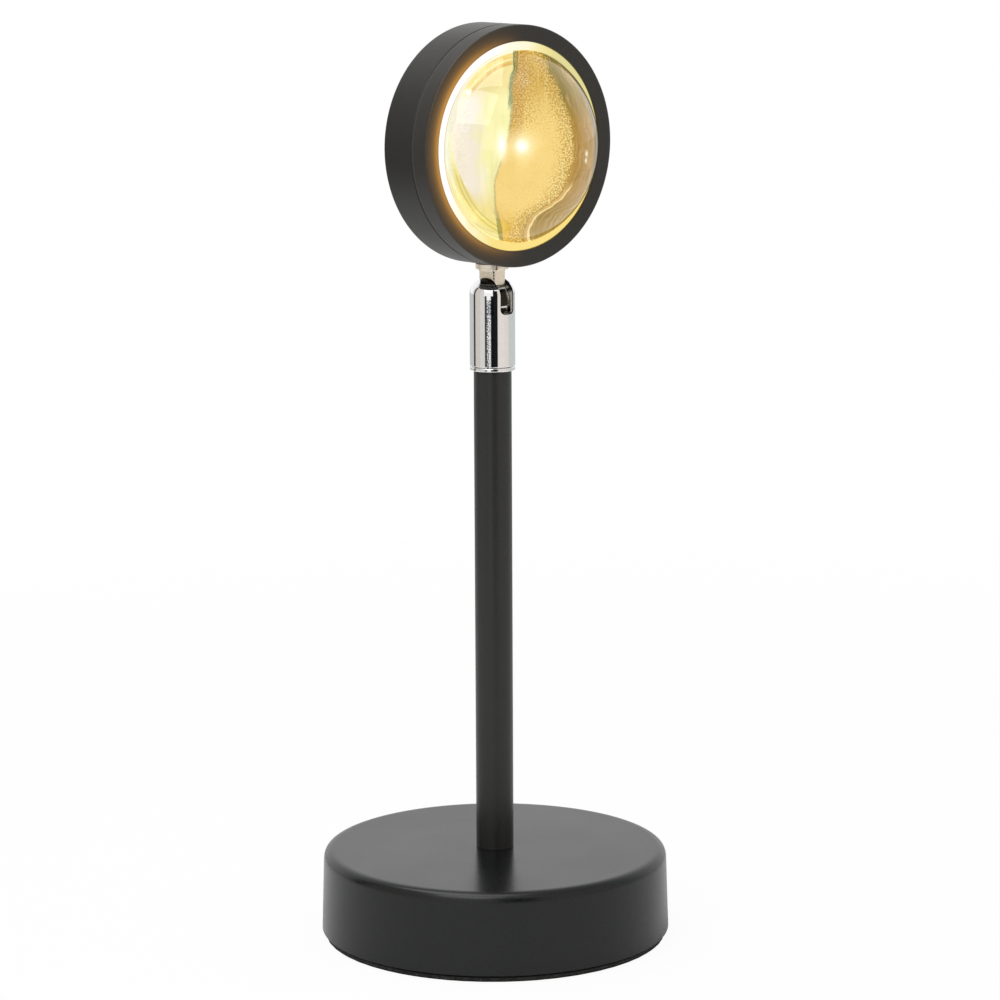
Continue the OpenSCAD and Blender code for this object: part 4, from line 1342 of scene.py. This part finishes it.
@dataclass
class Stem:
    """Nickel stem: ball, flat-sided bar, split collar and flange, and the thread in the head."""

    ball_r: float = 5.25
    bar: tuple[float, float] = (2.25, 3.2)
    bar_round: float = 0.65
    bar_turn: float = 5.0
    collar_r: float = 3.7
    collar_l: float = 0.3
    flare: float = 0.3
    flange_r: float = 4.65
    flange_t: float = 1.7
    thread_r: float = 2.9
    bore_r: float = 1.5
    split_w: float = 0.46
    split_deep: float = 1.3
    split_turn: float = -24.0
    pricks: tuple[float, ...] = (192.0, 191.2, 190.3)
    prick_off: float = 0.3
    prick_r: float = 0.2
    prick_deep: float = 0.22
    prick_from: float = 3.67

    def bar_reach(self, angle: np.ndarray) -> np.ndarray:
        """Distance from the axis to the bar's skin, by the angle from the slot's direction.

        On a side it is a / |sin| or b / |cos|. Round a corner of radius c, whose centre is k, it
        is d.k + sqrt((d.k)^2 - k.k + c^2) along the direction d.

        Args:
            angle: angles in radians.

        Returns:
            Distances in millimetres.
        """
        a, b = self.bar
        dx, dy = np.maximum(np.abs(np.sin(angle)), 1e-9), np.maximum(np.abs(np.cos(angle)), 1e-9)
        kx, ky = a - self.bar_round, b - self.bar_round
        along = dx * kx + dy * ky
        corner = along + np.sqrt(np.maximum(along**2 - kx**2 - ky**2 + self.bar_round**2, 0))
        return np.where(a / dx * dy <= ky, a / dx, np.where(b / dy * dx <= kx, b / dy, corner))

    def columns(self) -> tuple[np.ndarray, float]:
        """Returns the columns' angles, closer at the split (pi), and the split's half angle."""
        columns = np.linspace(0, 2 * math.pi, 361)[:-1]
        half = self.split_w / 2 / self.collar_r
        columns = columns[np.abs(columns - math.pi) > 1.3 * half]
        slit = math.pi + np.array([-1, -0.96, -0.9, -0.4, 0, 0.4, 0.9, 0.96, 1]) * half
        return np.sort(np.concatenate([columns, slit])), half

    def dents(self, from_slot: np.ndarray, height: np.ndarray) -> np.ndarray:
        """Share of a prick's full depth at each point of the bar.

        Args:
            from_slot: each column's angle from the slot's direction.
            height: each point's height.

        Returns:
            0 away from the pricks and about 1 in the middle of one.
        """
        corner = np.arctan2(self.bar[0], self.bar[1])
        off = np.mod(from_slot + corner + math.pi, 2 * math.pi) - math.pi
        off = off * self.collar_r + self.prick_off
        return sum(np.exp(-(off**2 + (height - z) ** 2) / self.prick_r**2) for z in self.pricks)

    def prick_places(self) -> tuple[tuple[float, float, float], ...]:
        """Returns the pricks' places in millimetres, for the finish that darkens them."""
        corner = np.arctan2(self.bar[0], self.bar[1])
        away = -math.radians(90 - self.bar_turn) - corner - self.prick_off / self.collar_r
        x, y = self.prick_from * math.cos(away), self.prick_from * math.sin(away)
        return tuple((x, y, z) for z in self.pricks)

    def upper_line(self, collar_low: float, flange_low: float, flange_top: float, foot: float) -> Loop:
        """Generator above the bar: collar, flare, flange, thread and the bore down to the ball.

        Args:
            collar_low: height of the collar's lower edge.
            flange_low: height of the flange's underside.
            flange_top: height of the flange's top.
            foot: height at which the bore leaves the ball.

        Returns:
            (radius, height) points.
        """
        flare, step_r, top = self.flare, self.collar_r + self.flare, span_of("ball_stem")[1][2]
        curve = np.linspace(0, math.pi / 2, 12)
        rise = np.stack([step_r - flare * np.cos(curve), flange_low - flare + flare * np.sin(curve)], 1)
        cap = rounded([
            (step_r, flange_low, 0), (self.flange_r, flange_low, 0.12), (self.flange_r, flange_top, 0.12),
            (self.thread_r, flange_top, 0.08), (self.thread_r, top, 0.3), (self.bore_r, top, 0.1),
            (self.bore_r, foot, 0)], closed=False)[1:]
        collar = np.array([(self.collar_r - 0.02, collar_low), (self.collar_r, collar_low + 0.02)])
        return np.concatenate([collar, rise, cap])

    def build(self) -> None:
        """Makes the stem: rows up the ball, the bar, the collar, the flange and the thread."""
        ball_z = Knuckle.ball_height()
        flange_top = span_of("rear_housing")[0][2] + 0.25
        flange_low = flange_top - self.flange_t
        collar_low = flange_low - self.flare - self.collar_l
        columns, half = self.columns()
        a = columns + math.radians(self.split_turn) + math.pi / 2
        from_slot = a - math.radians(self.bar_turn) + math.pi / 2
        reach = self.bar_reach(from_slot)
        foot, top = -math.acos(self.bore_r / self.ball_r), np.arccos(reach / self.ball_r)
        turn = foot + np.linspace(0, 1, 90)[:, None] * (top - foot)
        ball_r, ball_up = self.ball_r * np.cos(turn), ball_z + self.ball_r * np.sin(turn)
        t = np.concatenate([[0.02], np.linspace(0.05, 1, 64)])[:, None]
        join = ball_z + self.ball_r * np.sin(top)
        bar_z = join + t * (collar_low - join)
        bar_r = reach - self.prick_deep * self.dents(from_slot, bar_z)
        line = self.upper_line(collar_low, flange_low, flange_top, ball_up[0, 0])
        inside = 1 - smoothstep((np.abs(columns - math.pi) / half - 0.9) / 0.08)
        flange = (line[:, 1] < flange_top - 0.02) & (line[:, 1] > flange_low - 0.01)
        flange &= line[:, 0] > self.thread_r + 0.5
        r = np.concatenate([ball_r, bar_r, line[:, :1] - flange[:, None] * inside * self.split_deep])
        z = np.concatenate([ball_up, bar_z, np.repeat(line[:, 1:], len(columns), 1)])
        stem = closed_grid(np.stack([r * np.cos(a), r * np.sin(a), z], -1))
        nickel = NickelStemPaintedLight("stem_nickel", ball_z, self.bar_turn, self.prick_places())
        make_piece("stem_nickelled", stem, nickel.build(), "stem", ["ball_stem"], crease=34)


@dataclass
class Head:
    """Drum head: rear housing, bezel, pale ring, lens and colour film."""

    columns: int = 360
    seam_cut: float = 0.3
    edge_round: float = 0.6
    face_w: float = 4.6
    glow_w: float = 2.4
    lip_t: float = 1.0
    dome_h: float = 16.3
    coat: PowderCoat = PowderCoat(
        "head_coat", (0.017, 0.016, 0.0135), (0.031, 0.029, 0.025), 0.38, 0.012, 0.33)
    face_coat: PowderCoat = PowderCoat("face_coat", (0.023, 0.021, 0.017), (0.037, 0.034, 0.028), 0.42)

    def __post_init__(self) -> None:
        """Reads the head's places from the frame."""
        low, high = span_of("front_bezel")
        self.radius = high[0]
        rear_low, rear_high = span_of("rear_housing")
        self.centre_z = (rear_low[2] + rear_high[2]) / 2
        self.face_h = -low[1]
        self.opening_r = self.radius - self.face_w
        self.well_r = max(span_of("stem_nut")[1][:2]) + 0.3

    def forward(self, points: np.ndarray) -> np.ndarray:
        """Carries a turned shape to the head, where its axis becomes forwards.

        In the lower half it leaves the round well of the stem's nut free: no point lies less
        than sqrt(well^2 - x^2) in front of the stem's axis.

        Args:
            points: places round the Z axis.

        Returns:
            The places on the head.
        """
        x, y, z = points.T
        reach = np.sqrt(np.maximum(self.well_r**2 - x**2, 0))
        z = np.where((y < 0) & (z < reach), reach, z)
        return np.stack([x, -z, y + self.centre_z], 1)

    def turned_piece(
        self, name: str, line: Loop, material: bpy.types.Material, node: str,
        closed: bool = True
    ) -> None:
        """Makes a turned piece of the head that stands for one CAD node.

        Args:
            name: the piece's name.
            line: its section, as (radius, forwards) points.
            material: its finish.
            node: the CAD node that it stands for.
            closed: whether the section is a loop. An open one starts and ends on the axis.
        """
        surface = revolve(line, self.columns, closed).moved(self.forward).welded().outward()
        make_piece(name, surface, material, "head", [node])

    def bezel(self) -> None:
        """Front ring with its flat face, lip and threaded spigot."""
        _, high = span_of("front_bezel")
        back, seam = -high[1], -high[1] + 3.0
        face = HaloFace("bezel_face", self.face_coat, self.centre_z, self.opening_r, -self.face_h, -seam)
        spigot_r, holder_r = self.radius - 2.05, self.radius - 3.1
        line = rounded([
            (self.radius, seam + self.seam_cut, 0.08), (self.radius, self.face_h, self.edge_round),
            (self.opening_r, self.face_h, 0.15), (self.opening_r, self.face_h - self.lip_t, 0.05),
            (holder_r, self.face_h - self.lip_t, 0.05), (holder_r, back, 0.1), (spigot_r, back, 0.3),
            (spigot_r, seam, 0.1), (self.radius - self.seam_cut, seam, 0.08)])
        self.turned_piece("bezel_coated", line, face.build(), "front_bezel")

    def holder(self) -> None:
        """Pale ring that seats the lens and shows in the opening."""
        low, high = span_of("lens_holder")
        front, back, outer = -low[1], -high[1], high[0]
        lens_back = -span_of("lens")[1][1]
        seat = self.opening_r - self.glow_w + 0.1
        film_front = -span_of("colour_filter")[0][1]
        film_r = span_of("colour_filter")[1][0] + 0.1
        ring_r = self.opening_r - 0.1
        line = rounded([
            (ring_r, front, 0.12), (seat, front, 0.15), (seat, lens_back, 0.05), (seat - 1.7, lens_back, 0.1),
            (seat - 1.7, film_front, 0.05), (film_r, film_front, 0.05), (film_r, back, 0.1),
            (outer, back, 0.1), (outer, self.face_h - self.lip_t, 0.1),
            (ring_r, self.face_h - self.lip_t, 0.05)])
        glow = GlowRing("ring_glow", self.centre_z, -front)
        self.turned_piece("glow_ring", line, glow.build(), "lens_holder")

    def lens(self) -> None:
        """Thick glass with a straight edge and a spherical dome."""
        low, high = span_of("lens")
        rim_r, back, crown = high[0], -high[1], -low[1]
        rim_h = crown - self.dome_h
        ball = (rim_r**2 + self.dome_h**2) / (2 * self.dome_h)
        turn = np.linspace(math.asin(rim_r / ball) - 0.012, 0, 120)
        dome = np.stack([ball * np.sin(turn), crown - ball + ball * np.cos(turn)], 1)
        dome[-1, 0] = 0
        edge = rounded([(0, back, 0), (rim_r, back, 0.25), (rim_r, rim_h, 0.22), (*dome[0], 0)],
                       closed=False)
        line = np.concatenate([edge[:-1], dome])
        glass = DomeGlass("dome_glass", self.centre_z, -rim_h)
        self.turned_piece("lens_glass_dome", line, glass.build(), "lens", False)

    def film(self) -> None:
        """Thin colour film behind the lens, a flat disc of even rings of faces."""
        low, high = span_of("colour_filter")
        front, back, outer = -low[1], -high[1], high[0]
        rings = np.linspace(0, outer - 0.3, 40)
        top = np.stack([rings, np.full(len(rings), front)], 1)
        edge = rounded([(outer - 0.3, front, 0), (outer, front, 0.1), (outer, back, 0.1), (0, back, 0)],
                       closed=False)
        line = np.concatenate([top, edge[1:]])
        film = ColourFilm("sunset_film", self.centre_z)
        self.turned_piece("colour_film", line, film.build(), "colour_filter", False)

    def build(self) -> None:
        """Makes the head's pieces, and dresses the housing."""
        slots = frame["nodes"]["rear_housing"].data.materials
        slots.clear()
        slots.append(self.coat.build())
        self.bezel()
        self.holder()
        self.lens()
        self.film()


ZINC = ((0.62, 0.63, 0.65), (0.54, 0.55, 0.58))
BRASS = ((0.72, 0.66, 0.50), (0.62, 0.56, 0.42))
NYLON = ((0.82, 0.80, 0.74), (0.88, 0.86, 0.80))
SHEATH = ((0.022, 0.022, 0.022), (0.035, 0.035, 0.035))


@dataclass
class Innards:
    """Finishes for the CAD nodes that stay as they are."""

    finishes: dict = field(default_factory=lambda: {
        "counterweight": Grained(
            "cast_weight_iron", (0.14, 0.14, 0.145), (0.22, 0.215, 0.21), 0.6, 0.2, 0.8, 500, 0.06),
        "cable_gland": Grained("gland_rubber", (0.016, 0.016, 0.016), (0.028, 0.028, 0.028), 0.62, 0.1),
        "base_nipple": BrightMetal("nipple_brass", *BRASS, 0.25, 0.1, 0.004),
        "base_washer": BrightMetal("washer_zinc", *ZINC, 0.3, 0.12, 0.004),
        "base_nut": BrightMetal("nut_zinc", (0.62, 0.63, 0.65), (0.55, 0.55, 0.57), 0.28, 0.12, 0.004),
        "pole_lead": Grained("lead_sheath_black", *SHEATH, 0.5, 0.1),
        "plug_clip": BrightMetal("clip_steel", (0.60, 0.60, 0.61), (0.5, 0.5, 0.52), 0.25, 0.1, 0.003),
        "thrust_washer": Grained("washer_nylon", *NYLON, 0.45, 0.08),
        "knuckle_spring": BrightMetal("spring_steel", (0.60, 0.60, 0.62), (0.5, 0.5, 0.52), 0.22, 0.1, 0.003),
        "ball_seat": Grained("seat_nylon", *NYLON, 0.42, 0.08),
        "stem_washer": BrightMetal("spring_washer", *ZINC, 0.3, 0.12, 0.004),
        "stem_nut": BrightMetal("stem_nut_brass", *BRASS, 0.25, 0.1, 0.004),
        "reflector": Grained(
            "reflector_white", (0.88, 0.88, 0.85), (0.92, 0.92, 0.90), 0.3, 0.06, relief=0.002),
        "led_board": Grained("board_mask", (0.82, 0.84, 0.82), (0.88, 0.90, 0.88), 0.35, 0.08, relief=0.003),
        "led_emitter": Grained(
            "emitter_phosphor", (0.92, 0.66, 0.10), (0.95, 0.75, 0.18), 0.45, 0.08, relief=0.004),
        "board_resistors": Grained("chip_black", (0.02, 0.02, 0.02), (0.035, 0.035, 0.035), 0.4, 0.1),
        "thermal_pad": Grained("pad_silicone", (0.40, 0.46, 0.55), (0.48, 0.53, 0.60), 0.65, 0.1),
        "board_screws": BrightMetal("screw_zinc", *ZINC, 0.25, 0.12, 0.004),
        "lead_connector": Grained("connector_nylon", (0.86, 0.84, 0.78), (0.90, 0.88, 0.83), 0.4, 0.08),
        "head_lead": Grained("head_lead_black", *SHEATH, 0.5, 0.1),
    })

    def build(self) -> None:
        """Gives each CAD node its finish."""
        for node, finish in self.finishes.items():
            slots = frame["nodes"][node].data.materials
            slots.clear()
            slots.append(finish.build())
            LOG.info("%s: dressed as %s", node, finish.name)


# ---------------------------------------------------------------- studio and camera


class Card(Enum):
    """What stands round the lamp in the studio, by its angle from the camera, as chrome sees it.

    Each value is (first angle, last angle, brightness, colour), with angles in degrees towards
    the right of the picture.
    """

    GREY_WALL_LEFT = (-180.0, -110.0, 0.60, (0.96, 1.0, 0.97))
    GAP_LEFT = (-108.0, -97.0, 0.04, (1.0, 1.0, 1.0))
    BEIGE_WALL = (-95.0, -66.0, 0.66, (1.0, 0.94, 0.86))
    PALE_WALL = (-63.0, -40.0, 0.72, (1.0, 0.97, 0.95))
    STAND = (-37.0, -31.0, 0.03, (1.0, 1.0, 1.0))
    SOFTBOX = (-27.0, -9.5, 1.0, (1.0, 1.0, 1.0))
    CAMERA_SIDE = (-6.5, 26.0, 0.012, (0.9, 1.0, 1.1))
    CREAM_WALL = (28.0, 62.0, 0.82, (1.0, 0.94, 0.89))
    PINK_WALL = (64.0, 86.0, 0.80, (1.0, 0.91, 0.87))
    GREEN_WALL = (94.0, 180.0, 0.64, (0.94, 1.0, 0.97))


@dataclass
class Studio:
    """Floor, surroundings, lamps and camera."""

    camera_at: tuple[float, float, float] = (-663.0, -798.3, 317.2)
    focal_px: float = 3720.57
    image_px: float = 1000.0
    axis_px: float = -6.83
    pitch: float = 0.1815
    roll: float = -0.0047
    sensor: float = 36.0
    fill: float = 0.42
    ceiling: float = 0.6
    floor_white: float = 0.94
    far_floor: tuple[float, float] = (0.25, 0.75)
    middle: tuple[float, float, float] = (0.0, 0.0, 0.13)
    panes: tuple[tuple[float, float, float, float], ...] = (
        (-0.72, 0.04, -0.03, 0.50), (0.20, 0.62, 0.60, 0.80))

    def camera(self) -> None:
        """Stands the camera where the photograph's outlines put it."""
        at = np.array(self.camera_at)
        level = -at[:2] / np.linalg.norm(at[:2])
        yaw = math.atan2(level[1], level[0]) + math.atan(self.axis_px / self.focal_px)
        ahead = Vector((math.cos(yaw) * math.cos(self.pitch), math.sin(yaw) * math.cos(self.pitch),
                        -math.sin(self.pitch)))
        data = bpy.data.cameras.new("photo_camera")
        data.sensor_width = self.sensor
        data.lens = self.focal_px / self.image_px * self.sensor
        data.clip_start, data.clip_end = 0.05, 50.0
        camera = bpy.data.objects.new("photo_camera", data)
        look = ahead.to_track_quat("-Z", "Y").to_matrix().to_4x4()
        camera.matrix_world = Matrix.Translation(Vector(at * MM)) @ look @ Matrix.Rotation(self.roll, 4, "Z")
        bpy.context.scene.collection.objects.link(camera)
        bpy.context.scene.camera = camera

    def walls(self, graph: Graph, place: Socket) -> Socket:
        """Returns the colour of the studio's cards in the direction of a place.

        The angle is atan2(place . right, place . towards the camera).

        Args:
            graph: the material's or world's tree.
            place: a direction, or a point seen from the lamp's axis.

        Returns:
            The cards' colour there.
        """
        at = np.array(self.camera_at[:2]) / np.linalg.norm(self.camera_at[:2])
        near = graph.dot(place, (at[0], at[1], 0.0))
        angle = graph.math("ARCTAN2", graph.dot(place, (-at[1], at[0], 0.0)), near)
        share = graph.plus(graph.over(angle, 2 * math.pi), 0.5)
        stops = [((edge + 180) / 360, tuple(level * c for c in colour)) for card in Card
                 for first, last, level, colour in [card.value] for edge in (first, last)]
        return graph.ramp(share, stops)

    def floor(self) -> None:
        """Lays a pale floor that is white to the camera and keeps a soft shadow.

        Far from the lamp it runs up into the cards, which only mirrors see.
        """
        span, cells = 6.0, 8
        line = np.linspace(-span, span, cells + 1)
        x, y = np.meshgrid(line, line, indexing="ij")
        points = np.stack([x, y, np.zeros_like(x)], -1).reshape(-1, 3)
        index = np.arange(len(points)).reshape(cells + 1, cells + 1)
        faces = np.stack([index[:-1, :-1], index[1:, :-1], index[1:, 1:], index[:-1, 1:]], -1).reshape(-1, 4)
        mesh = bpy.data.meshes.new("floor")
        mesh.from_pydata(points.tolist(), [], faces.tolist())
        floor = bpy.data.objects.new("floor", mesh)
        bpy.context.scene.collection.objects.link(floor)
        graph = Graph("floor_white")
        away = graph.length(graph.place)
        far = graph.band(away, *self.far_floor)
        path = graph.node("LightPath")
        seen = graph.most(path.outputs["Is Camera Ray"], path.outputs["Is Transmission Ray"])
        matt = graph.node("BsdfDiffuse", {"Color": (0.90, 0.90, 0.90)}).outputs[0]
        white = graph.node("Emission", {"Color": (1.0, 1.0, 1.0)}).outputs[0]
        cards = graph.node("Emission", {"Color": self.walls(graph, graph.place)}).outputs[0]
        share = graph.times(seen, graph.band(away, *self.far_floor, self.floor_white, 1.0))
        plain = graph.node("MixShader", {0: share, 1: matt, 2: white}).outputs[0]
        metal = graph.math("SUBTRACT", path.outputs["Is Glossy Ray"], path.outputs["Is Transmission Ray"],
                           clamp=True)
        mirrored = graph.times(metal, far)
        graph.feed(graph.output.inputs["Surface"],
                   graph.node("MixShader", {0: mirrored, 1: plain, 2: cards}).outputs[0])
        graph.tree.nodes.remove(graph.shader)
        mesh.materials.append(graph.material)

    def surroundings(self) -> None:
        """Sets the world: white to the camera and glass, cards to mirrors, an even level to the rest.

        Mirrors see the white backdrop above the floor behind the lamp, and a pale ceiling.
        """
        world = bpy.data.worlds.new("studio")
        bpy.context.scene.world = world
        graph = WorldGraph(world)
        ahead = graph.node("TexCoord").outputs["Generated"]
        at = np.array(self.camera_at[:2]) / np.linalg.norm(self.camera_at[:2])
        near = graph.dot(ahead, (at[0], at[1], 0.0))
        behind = graph.band(near, -0.15, -0.6)
        up = graph.split(ahead)[2]
        mirror = graph.mix(behind, self.walls(graph, ahead), (1.0, 1.0, 1.0))
        mirror = graph.mix(graph.band(up, 0.55, 0.8), mirror, (self.ceiling,) * 3)
        right = graph.dot(ahead, (-at[1], at[0], 0.0))
        angle = graph.math("ARCTAN2", right, near)
        for left_at, right_at, low, high in self.panes:
            pane = graph.times(graph.near(angle, left_at, right_at, 0.03), graph.near(up, low, high, 0.02))
            mirror = graph.mix(pane, mirror, (1.0, 1.0, 1.0))
        path = graph.node("LightPath")
        seen = graph.most(path.outputs["Is Camera Ray"], path.outputs["Is Transmission Ray"])
        lit = graph.mix(path.outputs["Is Glossy Ray"], (self.fill,) * 3, mirror)
        back = graph.node("Background", {"Color": graph.mix(seen, lit, (1.0, 1.0, 1.0))})
        graph.feed(graph.output.inputs["Surface"], back.outputs[0])

    def lamp(self, name: str, at: tuple[float, float, float], size: float, power: float) -> None:
        """Hangs a square softbox that faces the lamp's middle.

        Args:
            name: its name.
            at: its place in metres.
            size: its side in metres.
            power: watts.
        """
        data = bpy.data.lights.new(name, "AREA")
        data.shape, data.size, data.energy = "SQUARE", size, power
        lamp = bpy.data.objects.new(name, data)
        lamp.location = at
        lamp.rotation_euler = (Vector(self.middle) - Vector(at)).to_track_quat("-Z", "Y").to_euler()
        bpy.context.scene.collection.objects.link(lamp)

    def build(self) -> None:
        """Sets up everything round the object."""
        scene = bpy.context.scene
        scene.view_settings.view_transform = "Standard"
        self.camera()
        self.floor()
        self.surroundings()
        self.lamp("softbox_top", (-0.2, 0.15, 1.3), 0.9, 7.0)
        self.lamp("softbox_left", (-0.81, -0.44, 1.1), 0.85, 6.0)
        self.lamp("softbox_right", (0.9, -1.0, 0.6), 0.8, 2.5)
        bpy.data.objects["softbox_right"].visible_glossy = False
        bpy.data.objects["softbox_right"].visible_transmission = False


def main() -> None:
    """Builds the studio, then the lamp's groups round its frame, and logs each."""
    logging.basicConfig(level=logging.INFO, format="%(name)s: %(message)s")
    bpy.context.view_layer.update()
    for group in (Studio(), Base(), Pole(), Knuckle(), Stem(), Head(), Innards()):
        group.build()
        LOG.info("%s done", type(group).__name__)


if __name__ == "__main__":
    main()
